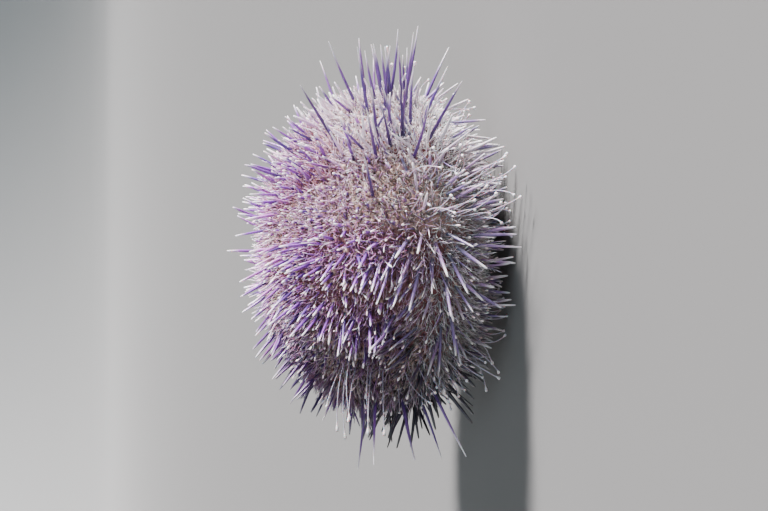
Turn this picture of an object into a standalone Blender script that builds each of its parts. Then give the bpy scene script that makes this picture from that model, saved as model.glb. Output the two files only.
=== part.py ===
"""Edible sea urchin (Echinus esculentus), a still life-size museum model.

The globular test stands mouth down on its lower spines and tube feet. It is parted
along its meridians into five ambulacra and five interambulacra, each carrying its
own spines. The apical disc and periproct close the top, the peristome and the five
teeth close the underside. Metres, +Z up, floor at z = 0.
"""

import math

import bmesh
import bpy
import numpy as np
from mathutils import Matrix, Vector

# Test: the rounded shell without its spines
TEST_DIAMETER = 0.100
TEST_HEIGHT = 0.070
TEST_CLEARANCE = 0.007
AMBITUS_SHARE = 0.46
UPPER_ROUNDNESS = 2.05
LOWER_ROUNDNESS = 2.45
TURN_STEPS = 45
POLE_STEPS = 25
PROFILE_STEPS = 12
OUTLINE_SAMPLES = 721

# Seams and the plates that close the two poles
SEAM = 0.0003
RAYS = 5
INTERVAL = 2 * math.pi / RAYS
AMBULACRUM_WIDTH = math.radians(24)
FIRST_AMBULACRUM = math.radians(-70)
APICAL_RADIUS = 0.0090
PERIPROCT_RADIUS = 0.0040
PERISTOME_RADIUS = 0.0130
MOUTH_RADIUS = 0.0052
WELL_DEPTH = 0.0030
PLATE_RISE = 0.0006

# Spines: lengths along the outline from the apical disc (0) to the peristome (1)
SPINE_SPACING = 0.0063
SPINE_SHARES = (0.0, 0.2, 0.45, 0.60, 0.78, 1.0)
SPINE_LENGTHS = (0.0100, 0.0120, 0.0134, 0.0152, 0.0124, 0.0086)
SPINE_VARIATION = (0.86, 1.08)
SECONDARY_SHARE = 0.56
SPINE_BASE_RADIUS = 0.00080
SECONDARY_BASE_RADIUS = 0.00062
SPINE_TIP_RADIUS = 0.00024
ROOT_DEPTH = 0.0018
EDGE_MARGIN = 0.0013
TIP_MARGIN = 0.0008
LEAN = math.radians(7)
STANDING_SLOPE = -0.80
FLOOR_CLEARANCE = 0.0009

# The lie of the coat: off a parting on most rays, out from the apex, and combed on the -Y side
# towards the apex, and towards -X as well on its -X quarter
PARTING_SHARE = 0.57
PARTING_OFF = math.radians(-9)
PARTING_REACH = 0.026
PARTING_CORE = 0.004
PARTED_RAYS = (0, 1, 2, 3)
APEX_REACH = 0.090
COMB_FRONT = (-0.022, 0.008)
COMB_SIDE = (-0.004, 0.016)
COMB_HEIGHT = (0.018, 0.038)
COMB = Vector((-0.58, 0.0, 0.50))
COMB_ABOVE = Vector((-0.15, 0.0, 0.31))
COMB_LEVELLING = 0.6

# The tallest spines, in a tuft on the +X side and fewer on the -X side: degrees of a meridian,
# then the shares of those that stand on it
TALL_LENGTH = (0.0222, 0.0272)
TALL_LEAN = 0.08
TALL_ROWS = (
    (-36, (0.35, 0.60)),
    (-28, (0.41, 0.46, 0.51, 0.56)),
    (-13, (0.54, 0.58)),
    (6, (0.50, 0.66)),
    (-46, (0.47, 0.53, 0.61)),
    (-55, (0.43, 0.56)),
    (-70, (0.44,)),
    (24, (0.44, 0.55)),
    (44, (0.50,)),
    (-157, (0.49, 0.56, 0.65)),
    (-164, (0.62,)),
    (172, (0.50, 0.60)),
)

# Tube feet, on both pore bands of each ambulacrum, with a bunch that trails from the last one
FOOT_RADIUS = 0.00042
DISC_RADIUS = 0.00075
DISC_DEPTH = 0.00070
PORE_BAND = 0.27
PLANTED_SHARES = (0.84, 0.92)
PLANTED_REACH = (0.0060, 0.0100)
HELD_SHARES = (0.60, 0.69, 0.78)
HELD_REACH = (0.0150, 0.0170)
HELD_LEAN = (0.3, -0.25)
TRAILING_SHARES = (0.40, 0.46, 0.52)
TRAILING_REACH = (0.0200, 0.0260)
TRAILING_PULL = Vector((-0.9, 0, 0.2))

# Plates, short spines and small feet at the poles
GENITAL = (0.0064, 0.0017)
SIEVE_SIZE = 0.0021
OCULAR = (0.0074, 0.0010)
CROWN_CIRCLE = 0.0062
CROWN_STEPS = (-0.24, -0.12, 0.12, 0.24)
CROWN_HEIGHT = (0.0065, 0.0085)
CROWN_LEAN = (0.0003, 0.0014)
SCALE_COUNT = 7
SCALE = (0.0026, 0.0008)
ANUS_SIZE = 0.0009
BUCCAL_CIRCLE = 0.0092
BUCCAL_RADIUS = 0.0007
BUCCAL_DISC_RADIUS = 0.0012
BUCCAL_LENGTH = 0.0040
TOOTH_ROOT_CIRCLE = 0.0030
TOOTH_TIP_CIRCLE = 0.0008
TOOTH_RADII = (0.0014, 0.0003)
TOOTH_REACH = 0.0032

AMBITUS_HEIGHT = TEST_CLEARANCE + TEST_HEIGHT * AMBITUS_SHARE
UPPER_HEIGHT = TEST_HEIGHT * (1 - AMBITUS_SHARE)
LOWER_HEIGHT = TEST_HEIGHT * AMBITUS_SHARE
UP = Vector((0, 0, 1))


def clear_scene():
    """Remove whatever the file starts with."""
    for item in list(bpy.data.objects):
        bpy.data.objects.remove(item, do_unlink=True)


def make_collection(name):
    """A new collection linked to the scene."""
    collection = bpy.data.collections.new(name)
    bpy.context.scene.collection.children.link(collection)
    return collection


def make_material(name, colour, roughness):
    """A Principled material with one colour."""
    material = bpy.data.materials.new(name)
    material.use_nodes = True
    shader = material.node_tree.nodes["Principled BSDF"]
    shader.inputs["Base Color"].default_value = (*colour, 1.0)
    shader.inputs["Roughness"].default_value = roughness
    shader.inputs["Metallic"].default_value = 0.0
    return material


def object_from_bmesh(bm, name, collection):
    """Turn a bmesh into a linked object and free it."""
    mesh = bpy.data.meshes.new(name)
    bm.to_mesh(mesh)
    bm.free()
    item = bpy.data.objects.new(name, mesh)
    collection.objects.link(item)
    return item


def evaluated_mesh(item):
    """The object's mesh with its modifiers or its bevelled curve worked out."""
    bpy.context.view_layer.update()
    evaluated = item.evaluated_get(bpy.context.evaluated_depsgraph_get())
    return bpy.data.meshes.new_from_object(evaluated)


# Outline of the test


def profile_point(turn):
    """Radius and height of the test's outline, from 0 at the apex to pi at the mouth."""
    upper = turn <= math.pi / 2
    roundness = UPPER_ROUNDNESS if upper else LOWER_ROUNDNESS
    height = UPPER_HEIGHT if upper else LOWER_HEIGHT
    across = abs(math.sin(turn)) ** (2 / roundness)
    along = math.copysign(abs(math.cos(turn)) ** (2 / roundness), math.cos(turn))
    return TEST_DIAMETER / 2 * across, AMBITUS_HEIGHT + height * along


def meridian():
    """Finely spaced radius, height and length along the outline, apex to mouth."""
    points = np.array([profile_point(turn) for turn in np.linspace(0, math.pi, OUTLINE_SAMPLES)])
    steps = np.linalg.norm(np.diff(points, axis=0), axis=1)
    return points[:, 0], points[:, 1], np.concatenate([[0], np.cumsum(steps)])


RADII, HEIGHTS, LENGTHS = meridian()
HALF_WAY = len(LENGTHS) // 2
TOP_RIM = float(np.interp(APICAL_RADIUS, RADII[:HALF_WAY], LENGTHS[:HALF_WAY]))
MOUTH_RIM = float(np.interp(-PERISTOME_RADIUS, -RADII[HALF_WAY:], LENGTHS[HALF_WAY:]))


def outline_at(length):
    """Radius and height at a length along the outline."""
    return float(np.interp(length, LENGTHS, RADII)), float(np.interp(length, LENGTHS, HEIGHTS))


def surface_at(length, angle):
    """Point and outward normal of the test at a length down the outline and an angle."""
    radius, height = outline_at(length)
    before = outline_at(length - ROOT_DEPTH / 2)
    after = outline_at(length + ROOT_DEPTH / 2)
    along = Vector((after[0] - before[0], after[1] - before[1])).normalized()
    outward = Vector((math.cos(angle), math.sin(angle), 0))
    return outward * radius + UP * height, outward * -along.y + UP * along.x


TOP_HEIGHT = outline_at(TOP_RIM)[1]
MOUTH_HEIGHT = outline_at(MOUTH_RIM)[1]


# Turned bodies and cuts


def turned_mesh(name, profile, steps):
    """Mesh of a profile of (radius, height), turned about the Z axis."""
    mesh = bpy.data.meshes.new(name)
    vertices = [(radius, 0, height) for radius, height in profile]
    mesh.from_pydata(vertices, [(i, i + 1) for i in range(len(vertices) - 1)], [])
    item = bpy.data.objects.new(name, mesh)
    bpy.context.scene.collection.objects.link(item)
    screw = item.modifiers.new("Turn", "SCREW")
    screw.steps = steps
    screw.render_steps = steps
    screw.use_merge_vertices = True
    screw.merge_threshold = 0.00001
    turned = evaluated_mesh(item)
    bpy.data.objects.remove(item, do_unlink=True)
    return turned


def test_profile():
    """The test's outline with a well for the plates at each pole."""
    points = [(0, TOP_HEIGHT - WELL_DEPTH), (APICAL_RADIUS, TOP_HEIGHT - WELL_DEPTH)]
    for length in np.linspace(TOP_RIM, MOUTH_RIM, PROFILE_STEPS + 1):
        points.append(outline_at(length))
    points.append((PERISTOME_RADIUS, MOUTH_HEIGHT + WELL_DEPTH))
    points.append((0, MOUTH_HEIGHT + WELL_DEPTH))
    return points


def cut_off(bm, point, outward):
    """Cut away what lies on the outward side of a plane and close the cut."""
    everything = bm.verts[:] + bm.edges[:] + bm.faces[:]
    cut = bmesh.ops.bisect_plane(
        bm, geom=everything, dist=1e-7, plane_co=point, plane_no=outward, clear_outer=True
    )
    edges = [part for part in cut["geom_cut"] if isinstance(part, bmesh.types.BMEdge)]
    bmesh.ops.holes_fill(bm, edges=edges, sides=0)


def wedge_of_test(body_mesh, middle, width):
    """The part of the turned test between two meridians, less half a seam each side."""
    bm = bmesh.new()
    bm.from_mesh(body_mesh)
    for side in (-1, 1):
        angle = middle + side * width / 2
        outward = Vector((-math.sin(angle), math.cos(angle), 0)) * side
        cut_off(bm, outward * (-SEAM / 2), outward)
    bmesh.ops.recalc_face_normals(bm, faces=bm.faces[:])
    return bm


# Small pieces that are fused to a body


def add_cone(pieces, root, tip, base_radius, tip_radius, sides):
    """A closed tapered rod from root to tip."""
    axis = tip - root
    place = Matrix.Translation((root + tip) / 2) @ axis.to_track_quat("Z", "Y").to_matrix().to_4x4()
    bm = bmesh.new()
    bmesh.ops.create_cone(
        bm,
        cap_ends=True,
        segments=sides,
        radius1=base_radius,
        radius2=tip_radius,
        depth=axis.length,
        matrix=place,
    )
    object_from_bmesh(bm, "piece", pieces)


def add_tube(pieces, path, radius):
    """A four-sided tube through a few points, with its caps welded."""
    curve = bpy.data.curves.new("tube", "CURVE")
    curve.dimensions = "3D"
    curve.bevel_depth = radius
    curve.bevel_resolution = 0
    curve.use_fill_caps = True
    spline = curve.splines.new("POLY")
    spline.points.add(len(path) - 1)
    for point, place in zip(spline.points, path):
        point.co = (*place, 1)
    item = bpy.data.objects.new("tube", curve)
    pieces.objects.link(item)
    bm = bmesh.new()
    mesh = evaluated_mesh(item)
    bm.from_mesh(mesh)
    bmesh.ops.remove_doubles(bm, verts=bm.verts[:], dist=1e-6)
    bmesh.ops.recalc_face_normals(bm, faces=bm.faces[:])
    object_from_bmesh(bm, "piece", pieces)
    bpy.data.objects.remove(item, do_unlink=True)
    bpy.data.meshes.remove(mesh)


def keep_largest(bm):
    """Keep the closed surface with the most faces."""
    unseen = set(bm.faces)
    shells = []
    while unseen:
        stack = [unseen.pop()]
        shell = set(stack)
        while stack:
            face = stack.pop()
            for edge in face.edges:
                for neighbour in edge.link_faces:
                    if neighbour in unseen:
                        unseen.discard(neighbour)
                        shell.add(neighbour)
                        stack.append(neighbour)
        shells.append(shell)
    largest = max(shells, key=len)
    spare = [face for face in bm.faces if face not in largest]
    bmesh.ops.delete(bm, geom=spare, context="FACES")


def fuse(item, pieces):
    """Join a collection of closed pieces to an object as one closed body."""
    join = item.modifiers.new("Join", "BOOLEAN")
    join.operation = "UNION"
    join.solver = "EXACT"
    join.operand_type = "COLLECTION"
    join.collection = pieces
    mesh = evaluated_mesh(item)
    item.modifiers.remove(join)
    bm = bmesh.new()
    bm.from_mesh(mesh)
    cut_off(bm, Vector((0, 0, 0)), -UP)
    bmesh.ops.remove_doubles(bm, verts=bm.verts[:], dist=1e-6)
    keep_largest(bm)
    bm.to_mesh(item.data)
    bm.free()
    bpy.data.meshes.remove(mesh)
    for piece in list(pieces.objects):
        bpy.data.objects.remove(piece, do_unlink=True)
    bpy.data.collections.remove(pieces)


# Spines


class Wedge:
    """The space between two meridian planes that one node and its spines keep to."""

    def __init__(self, middle, width):
        self.middle = middle
        self.width = width
        self.walls = []
        for side in (-1, 1):
            angle = middle + side * width / 2
            self.walls.append(Vector((-math.sin(angle), math.cos(angle), 0)) * side)

    def hold(self, point, margin):
        """The point, moved in from the nearest wall where it is closer than margin."""
        held = point.copy()
        for wall in self.walls:
            held -= wall * max(0, held.dot(wall) + SEAM / 2 + margin)
        return held


def spine_places(wedge):
    """Staggered rows over a wedge: share down the outline, length, angle and kind."""
    first = TOP_RIM + EDGE_MARGIN
    last = MOUTH_RIM - EDGE_MARGIN
    rows = int((last - first) / (SPINE_SPACING * math.sqrt(3) / 2)) + 1
    for row, length in enumerate(np.linspace(first, last, rows)):
        radius, _ = outline_at(length)
        usable = wedge.width * radius - 2 * EDGE_MARGIN - SEAM
        gaps = max(1, round(usable / SPINE_SPACING))
        count = gaps + 1 if row % 2 == 0 and usable > SPINE_SPACING / 2 else gaps
        for column in range(count):
            across = (column - (count - 1) / 2) * usable / gaps
            kind = "secondary" if (column + 2 * row) % 3 == 0 else "primary"
            yield (length - first) / (last - first), float(length), wedge.middle + across / radius, kind


def leaning(root, normal, draw):
    """The direction of a spine: the normal, the lie of the coat and a small random angle."""
    side = normal.orthogonal().normalized()
    across = normal.cross(side)
    disorder = side * draw.normal(0, LEAN) + across * draw.normal(0, LEAN)
    return (normal + lie_of_coat(root, normal) + disorder).normalized()


def hold_share(value):
    """A number held between 0 and 1."""
    return min(max(value, 0.0), 1.0)


def length_at(share):
    """Length down the outline at a share of the way from the apical disc to the peristome."""
    return TOP_RIM + share * (MOUTH_RIM - TOP_RIM)


def lie_of_coat(root, normal):
    """How much, and which way, the spines at a point lean off the normal."""
    front = float(np.interp(root.y, COMB_FRONT, (1, 0)) * np.interp(root.z, COMB_HEIGHT, (0, 1)))
    quarter = float(np.interp(root.x, COMB_SIDE, (1, 0)))
    combed = COMB - Vector((normal.x, 0, normal.z)) * COMB_LEVELLING
    lean = (combed * quarter + COMB_ABOVE * (1 - quarter)) * front
    outward = Vector((root.x, root.y, 0))
    outward -= normal * outward.dot(normal)
    lean += outward / APEX_REACH * hold_share(normal.z)
    for ray in PARTED_RAYS:
        angle = FIRST_AMBULACRUM + PARTING_OFF + ray * INTERVAL
        middle, _ = surface_at(length_at(PARTING_SHARE), angle)
        away = root - middle
        away -= normal * away.dot(normal)
        grip = math.exp(-((away.length / PARTING_REACH) ** 2)) / (away.length + PARTING_CORE)
        lean += away * grip
    return lean


def spine_tip(root, direction, length):
    """Where a spine ends: at its length, clear of the floor, or standing on it."""
    tip = root + direction * length
    if tip.z > FLOOR_CLEARANCE:
        return tip
    if direction.z < STANDING_SLOPE and length > SPINE_LENGTHS[-1] * SECONDARY_SHARE * 1.2:
        return root + direction * (root.z + SEAM) / -direction.z
    level = Vector((direction.x, direction.y, 0)).normalized()
    drop = root.z - FLOOR_CLEARANCE
    return root + level * math.sqrt(max(length**2 - drop**2, 0)) - UP * drop


def grow_spines(wedge, pieces, draw):
    """Plant primary and secondary spines over one wedge of the test."""
    for share, length, angle, kind in spine_places(wedge):
        root, normal = surface_at(length, angle)
        reach = float(np.interp(share, SPINE_SHARES, SPINE_LENGTHS)) * draw.uniform(*SPINE_VARIATION)
        reach *= 1 if kind == "primary" else SECONDARY_SHARE
        tip = wedge.hold(spine_tip(root, leaning(root, normal, draw), reach), TIP_MARGIN)
        sunk = wedge.hold(root - normal * ROOT_DEPTH, EDGE_MARGIN)
        if kind == "primary":
            add_cone(pieces, sunk, tip, SPINE_BASE_RADIUS, SPINE_TIP_RADIUS, 3)
        else:
            add_cone(pieces, sunk, tip, SECONDARY_BASE_RADIUS, 0, 3)


def grow_tall_spines(wedge, pieces, draw):
    """Plant the tall spines whose meridians lie in one wedge."""
    for degrees, shares in TALL_ROWS:
        angle = math.radians(degrees)
        if abs(math.remainder(angle - wedge.middle, 2 * math.pi)) > wedge.width / 2:
            continue
        for share in shares:
            root, normal = surface_at(length_at(share), angle)
            direction = (normal + Vector((math.copysign(TALL_LEAN, root.x), 0, 0))).normalized()
            tip = wedge.hold(root + direction * draw.uniform(*TALL_LENGTH), TIP_MARGIN)
            sunk = wedge.hold(root - normal * ROOT_DEPTH, EDGE_MARGIN)
            add_cone(pieces, sunk, tip, SPINE_BASE_RADIUS, SPINE_TIP_RADIUS, 4)


def add_disc(pieces, place, direction):
    """The flared sucker at the end of a tube foot."""
    add_cone(pieces, place - direction * DISC_DEPTH, place, FOOT_RADIUS, DISC_RADIUS, 5)


def grow_free_foot(wedge, pieces, length, angle, reach, lean):
    """A tube foot held out past the spines, bent a little towards lean."""
    root, normal = surface_at(length, angle)
    bent = (normal + lean * 0.6).normalized()
    path = [root - normal * ROOT_DEPTH, root + normal * reach * 0.5]
    path.append(path[-1] + (bent + lean * 0.3).normalized() * reach * 0.5)
    path = [wedge.hold(point, EDGE_MARGIN) for point in path]
    end_direction = (path[-1] - path[-2]).normalized()
    add_tube(pieces, path, FOOT_RADIUS)
    add_disc(pieces, path[-1] + end_direction * DISC_DEPTH * 0.6, end_direction)


def grow_planted_foot(wedge, pieces, length, angle, reach):
    """A tube foot that arches out from the lower side and stands on the floor."""
    root, normal = surface_at(length, angle)
    level = Vector((math.cos(angle), math.sin(angle), 0))
    landing = Vector((root.x, root.y, 0)) + level * reach
    bulge = (root + landing) / 2 + level * reach * 0.4
    path = [root - normal * ROOT_DEPTH, bulge, landing + UP * DISC_DEPTH * 0.5]
    path = [wedge.hold(point, EDGE_MARGIN) for point in path]
    landing = Vector((path[-1].x, path[-1].y, 0))
    add_tube(pieces, path, FOOT_RADIUS)
    add_disc(pieces, landing - UP * SEAM, -UP)


def grow_tube_feet(wedge, pieces, draw, trailing):
    """Tube feet along both pore bands of an ambulacrum."""
    spread, droop = HELD_LEAN
    for side in (-1, 1):
        angle = wedge.middle + side * wedge.width * PORE_BAND
        for share in PLANTED_SHARES:
            grow_planted_foot(wedge, pieces, length_at(share), angle, draw.uniform(*PLANTED_REACH))
        for share in TRAILING_SHARES if trailing else HELD_SHARES:
            lean = Vector((draw.normal(0, spread), draw.normal(0, spread), droop))
            if trailing:
                lean += TRAILING_PULL
            reach = draw.uniform(*(TRAILING_REACH if trailing else HELD_REACH))
            grow_free_foot(wedge, pieces, length_at(share), angle, reach, lean)


# Plates at the poles


def ring_body(name, inner, outer, top_height, bottom_height, crown, collection):
    """A turned disc or ring whose top face rises by crown towards its inner edge."""
    middle = (inner + outer) / 2
    profile = [(inner, top_height + crown), (middle, top_height + crown * 0.75), (outer, top_height)]
    profile += [(outer, bottom_height), (inner, bottom_height)]
    if inner > 0:
        profile.append(profile[0])
    mesh = turned_mesh(name, profile, POLE_STEPS)
    bm = bmesh.new()
    bm.from_mesh(mesh)
    bmesh.ops.remove_doubles(bm, verts=bm.verts[:], dist=1e-6)
    bmesh.ops.recalc_face_normals(bm, faces=bm.faces[:])
    return object_from_bmesh(bm, name, collection)


def add_plate(pieces, radius, angle, height, size, rise, sides):
    """A low plate raised on a polar disc."""
    place = Vector((math.cos(angle) * radius, math.sin(angle) * radius, height))
    add_cone(pieces, place - UP * rise, place + UP * rise, size, size * 0.8, sides)


def build_apical_disc(collection, draw):
    """Five genital plates, one the larger madreporite, five ocular plates and short spines."""
    outer = APICAL_RADIUS - SEAM
    item = ring_body(
        "apical_disc", PERIPROCT_RADIUS + SEAM, outer, TOP_HEIGHT, TOP_HEIGHT - WELL_DEPTH + SEAM,
        PLATE_RISE, collection,
    )
    pieces = make_collection("apical_pieces")
    for ray in range(RAYS):
        between = FIRST_AMBULACRUM + (ray + 0.5) * INTERVAL
        radius, size = GENITAL
        size = SIEVE_SIZE if ray == 0 else size
        add_plate(pieces, radius, between, TOP_HEIGHT + PLATE_RISE * 0.6, size, PLATE_RISE, 5)
        radius, size = OCULAR
        along_ray = between + INTERVAL / 2
        add_plate(pieces, radius, along_ray, TOP_HEIGHT + PLATE_RISE * 0.4, size, PLATE_RISE, 5)
        for step in CROWN_STEPS:
            angle = between + step * INTERVAL
            outward = Vector((math.cos(angle), math.sin(angle), 0))
            root = outward * CROWN_CIRCLE + UP * (TOP_HEIGHT - ROOT_DEPTH * 0.5)
            lean = outward * draw.uniform(*CROWN_LEAN)
            tip = root + lean + UP * draw.uniform(*CROWN_HEIGHT)
            add_cone(pieces, root, tip, SECONDARY_BASE_RADIUS, SPINE_TIP_RADIUS, 3)
    fuse(item, pieces)
    return item


def build_periproct(collection):
    """The small scaly membrane round the anus, at the very top."""
    item = ring_body(
        "periproct", 0, PERIPROCT_RADIUS, TOP_HEIGHT, TOP_HEIGHT - WELL_DEPTH + SEAM,
        PLATE_RISE, collection,
    )
    pieces = make_collection("periproct_pieces")
    radius, size = SCALE
    for step in range(SCALE_COUNT):
        angle = step * 2 * math.pi / SCALE_COUNT
        add_plate(pieces, radius, angle, TOP_HEIGHT + PLATE_RISE * 0.7, size, PLATE_RISE, 5)
    add_plate(pieces, 0, 0, TOP_HEIGHT + PLATE_RISE, ANUS_SIZE, PLATE_RISE * 1.6, 6)
    fuse(item, pieces)
    return item


def build_peristome(collection):
    """The ring of soft skin round the mouth, with ten buccal tube feet."""
    top = MOUTH_HEIGHT + WELL_DEPTH - SEAM
    item = ring_body(
        "peristome", MOUTH_RADIUS + SEAM, PERISTOME_RADIUS - SEAM, top, MOUTH_HEIGHT, 0, collection
    )
    pieces = make_collection("peristome_pieces")
    for ray in range(RAYS):
        for side in (-1, 1):
            angle = FIRST_AMBULACRUM + ray * INTERVAL + side * AMBULACRUM_WIDTH * 0.45
            outward = Vector((math.cos(angle), math.sin(angle), 0))
            root = outward * BUCCAL_CIRCLE + UP * (MOUTH_HEIGHT + ROOT_DEPTH * 0.6)
            flare = root - UP * BUCCAL_LENGTH * 0.75
            end = root - UP * BUCCAL_LENGTH
            add_cone(pieces, root, (flare + end) / 2, BUCCAL_RADIUS, BUCCAL_RADIUS * 0.85, 4)
            add_cone(pieces, flare, end, BUCCAL_RADIUS, BUCCAL_DISC_RADIUS, 5)
    fuse(item, pieces)
    return item


def build_teeth(collection):
    """The tips of the five teeth, leaning together in the mouth."""
    top = MOUTH_HEIGHT + WELL_DEPTH - SEAM
    item = ring_body("teeth", 0, MOUTH_RADIUS, top, MOUTH_HEIGHT + WELL_DEPTH * 0.45, 0, collection)
    pieces = make_collection("teeth_pieces")
    for ray in range(RAYS):
        angle = FIRST_AMBULACRUM + (ray + 0.5) * INTERVAL
        outward = Vector((math.cos(angle), math.sin(angle), 0))
        root = outward * TOOTH_ROOT_CIRCLE + UP * (MOUTH_HEIGHT + WELL_DEPTH * 0.7)
        tip = outward * TOOTH_TIP_CIRCLE + UP * (MOUTH_HEIGHT - TOOTH_REACH)
        add_cone(pieces, root, tip, *TOOTH_RADII, 4)
    fuse(item, pieces)
    return item


def build_ray(body_mesh, urchin, ray, materials):
    """One ambulacrum and the interambulacrum that follows it, with their spines."""
    middle = FIRST_AMBULACRUM + ray * INTERVAL
    bands = (
        ("ambulacrum", Wedge(middle, AMBULACRUM_WIDTH)),
        ("interambulacrum", Wedge(middle + INTERVAL / 2, INTERVAL - AMBULACRUM_WIDTH)),
    )
    for offset, (band, wedge) in enumerate(bands):
        draw = np.random.RandomState(100 + 10 * ray + offset)
        bm = wedge_of_test(body_mesh, wedge.middle, wedge.width)
        item = object_from_bmesh(bm, f"{band}_{ray + 1}", urchin)
        pieces = make_collection(f"{band}_pieces")
        grow_spines(wedge, pieces, draw)
        grow_tall_spines(wedge, pieces, draw)
        if band == "ambulacrum":
            grow_tube_feet(wedge, pieces, draw, ray == RAYS - 1)
        fuse(item, pieces)
        item.data.materials.append(materials[band])


def centre_on_floor(collection):
    """Move every part so that the middle of the whole animal stands over the origin."""
    places = np.array([vertex.co for item in collection.objects for vertex in item.data.vertices])
    middle = (places.min(axis=0) + places.max(axis=0)) / 2
    for item in collection.objects:
        item.data.transform(Matrix.Translation((-middle[0], -middle[1], 0)))


def build():
    """Model every part of the urchin."""
    clear_scene()
    urchin = make_collection("edible_sea_urchin")
    materials = {
        "ambulacrum": make_material("ambulacral_spines", (0.62, 0.52, 0.70), 0.45),
        "interambulacrum": make_material("violet_spines", (0.40, 0.26, 0.62), 0.42),
        "plates": make_material("reddish_skin", (0.45, 0.22, 0.22), 0.55),
        "teeth": make_material("tooth", (0.90, 0.88, 0.80), 0.30),
    }
    body_mesh = turned_mesh("test", test_profile(), TURN_STEPS)
    for ray in range(RAYS):
        build_ray(body_mesh, urchin, ray, materials)
    draw = np.random.RandomState(7)
    for item in (build_apical_disc(urchin, draw), build_periproct(urchin), build_peristome(urchin)):
        item.data.materials.append(materials["plates"])
    build_teeth(urchin).data.materials.append(materials["teeth"])
    centre_on_floor(urchin)


build()
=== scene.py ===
"""Edible sea urchin, life size: skin, spines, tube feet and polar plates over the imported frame."""

import math
from typing import NamedTuple

import bmesh
import bpy
import numpy as np
from mathutils import Matrix, Vector


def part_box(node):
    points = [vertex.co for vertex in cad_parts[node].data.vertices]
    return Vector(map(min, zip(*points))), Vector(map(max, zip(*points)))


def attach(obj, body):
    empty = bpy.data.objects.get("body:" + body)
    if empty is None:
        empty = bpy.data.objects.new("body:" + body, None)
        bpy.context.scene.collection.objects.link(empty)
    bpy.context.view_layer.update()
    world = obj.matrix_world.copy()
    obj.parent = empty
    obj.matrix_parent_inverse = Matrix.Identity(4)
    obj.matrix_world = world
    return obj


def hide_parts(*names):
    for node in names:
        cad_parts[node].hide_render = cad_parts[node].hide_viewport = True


bl_info = {
    "name": "Edible Sea Urchin",
    "version": (1, 0, 0),
    "blender": (4, 5, 0),
    "location": "View3D > Sidebar > Sea Urchin",
    "description": "Dresses a life-size edible sea urchin over its packed frame",
    "category": "Add Mesh",
}

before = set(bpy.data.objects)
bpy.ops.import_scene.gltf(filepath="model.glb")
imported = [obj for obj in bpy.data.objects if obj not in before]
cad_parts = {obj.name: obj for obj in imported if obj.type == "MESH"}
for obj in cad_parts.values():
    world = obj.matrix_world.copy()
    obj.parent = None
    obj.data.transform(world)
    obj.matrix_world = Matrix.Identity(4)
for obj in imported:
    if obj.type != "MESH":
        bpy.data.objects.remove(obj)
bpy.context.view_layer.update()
POLE_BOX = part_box("periproct")
AXIS = (Vector(POLE_BOX[0]) + Vector(POLE_BOX[1])) / 2

RAYS = 5
INTERVAL = 2 * math.pi / RAYS
BANDS = ("ambulacrum", "interambulacrum")
BODY_NODES = [f"{band}_{ray + 1}" for band in BANDS for ray in range(RAYS)]
BAKE_PATCH = 0.003
OUTLINE_SAMPLES = 721
TINY = 1e-6
UP = Vector((0, 0, 1))


# Sizes and colours


def number_property(name, description, default, **kind):
    """A number that a user can change."""
    return bpy.props.FloatProperty(name=name, description=description, default=default, **kind)


def size_property(name, description, default):
    """A length that a user can change."""
    return number_property(name, description, default, unit="LENGTH", min=0)


def angle_property(name, description, default):
    """An angle that a user can change."""
    return number_property(name, description, default, subtype="ANGLE")


def colour_property(name, description, default):
    """A colour that a user can change."""
    return bpy.props.FloatVectorProperty(
        name=name, description=description, default=default, subtype="COLOR", size=3, min=0, max=1
    )


class UrchinTest(bpy.types.PropertyGroup):
    """The shell without its spines."""

    diameter: size_property("Diameter", "Width of the test at its widest", 0.100)
    height: size_property("Height", "Height of the test, mouth to apex", 0.070)
    clearance: size_property("Clearance", "Height of the underside above the floor", 0.007)
    ambitus: number_property("Ambitus", "Share of the height at which the test is widest", 0.46)
    upper_roundness: number_property("Upper roundness", "Exponent of the upper outline", 2.05)
    lower_roundness: number_property("Lower roundness", "Exponent of the lower outline", 2.45)
    apical_radius: size_property("Apical disc", "Radius of the apical disc", 0.0090)
    periproct_radius: size_property("Periproct", "Radius of the scaly membrane at the top", 0.0040)
    peristome_radius: size_property("Peristome", "Radius of the soft skin round the mouth", 0.0130)
    mouth_radius: size_property("Mouth", "Radius of the mouth opening", 0.0052)
    first_ray: angle_property("First ray", "Direction of the first ambulacrum", math.radians(-70))
    ray_width: angle_property("Ray width", "Width of an ambulacrum", math.radians(24))


class UrchinCoat(bpy.types.PropertyGroup):
    """Spacing, length and thickness of the spines and tube feet."""

    primary_spacing: size_property("Primary spacing", "Distance between primary spines", 0.0046)
    secondary_spacing: size_property("Secondary spacing", "Distance between secondary spines", 0.0032)
    fine_spacing: size_property("Fine spacing", "Distance between fine spines", 0.00125)
    down_spacing: size_property("Down spacing", "Distance between the smallest spines", 0.00100)
    tall_length: size_property("Tall length", "Usual length of the tall spines", 0.0252)
    primary_length: size_property("Primary length", "Usual length of a primary spine", 0.0148)
    secondary_length: size_property("Secondary length", "Usual length of a secondary spine", 0.0088)
    fine_length: size_property("Fine length", "Usual length of a fine spine", 0.0066)
    down_length: size_property("Down length", "Usual length of the smallest spines", 0.0042)
    tall_radius: size_property("Tall radius", "Radius of a tall spine's shaft", 0.00055)
    primary_radius: size_property("Primary radius", "Radius of a primary spine's shaft", 0.00044)
    secondary_radius: size_property("Secondary radius", "Radius of a secondary spine", 0.00021)
    fine_radius: size_property("Fine radius", "Radius of a fine spine", 0.00015)
    down_radius: size_property("Down radius", "Radius of the smallest spines", 0.00012)
    foot_radius: size_property("Tube foot radius", "Radius of a tube foot's stalk", 0.00018)
    parting: number_property("Parting", "How strongly spines lean off the parting on a ray", 1.0)


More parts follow.
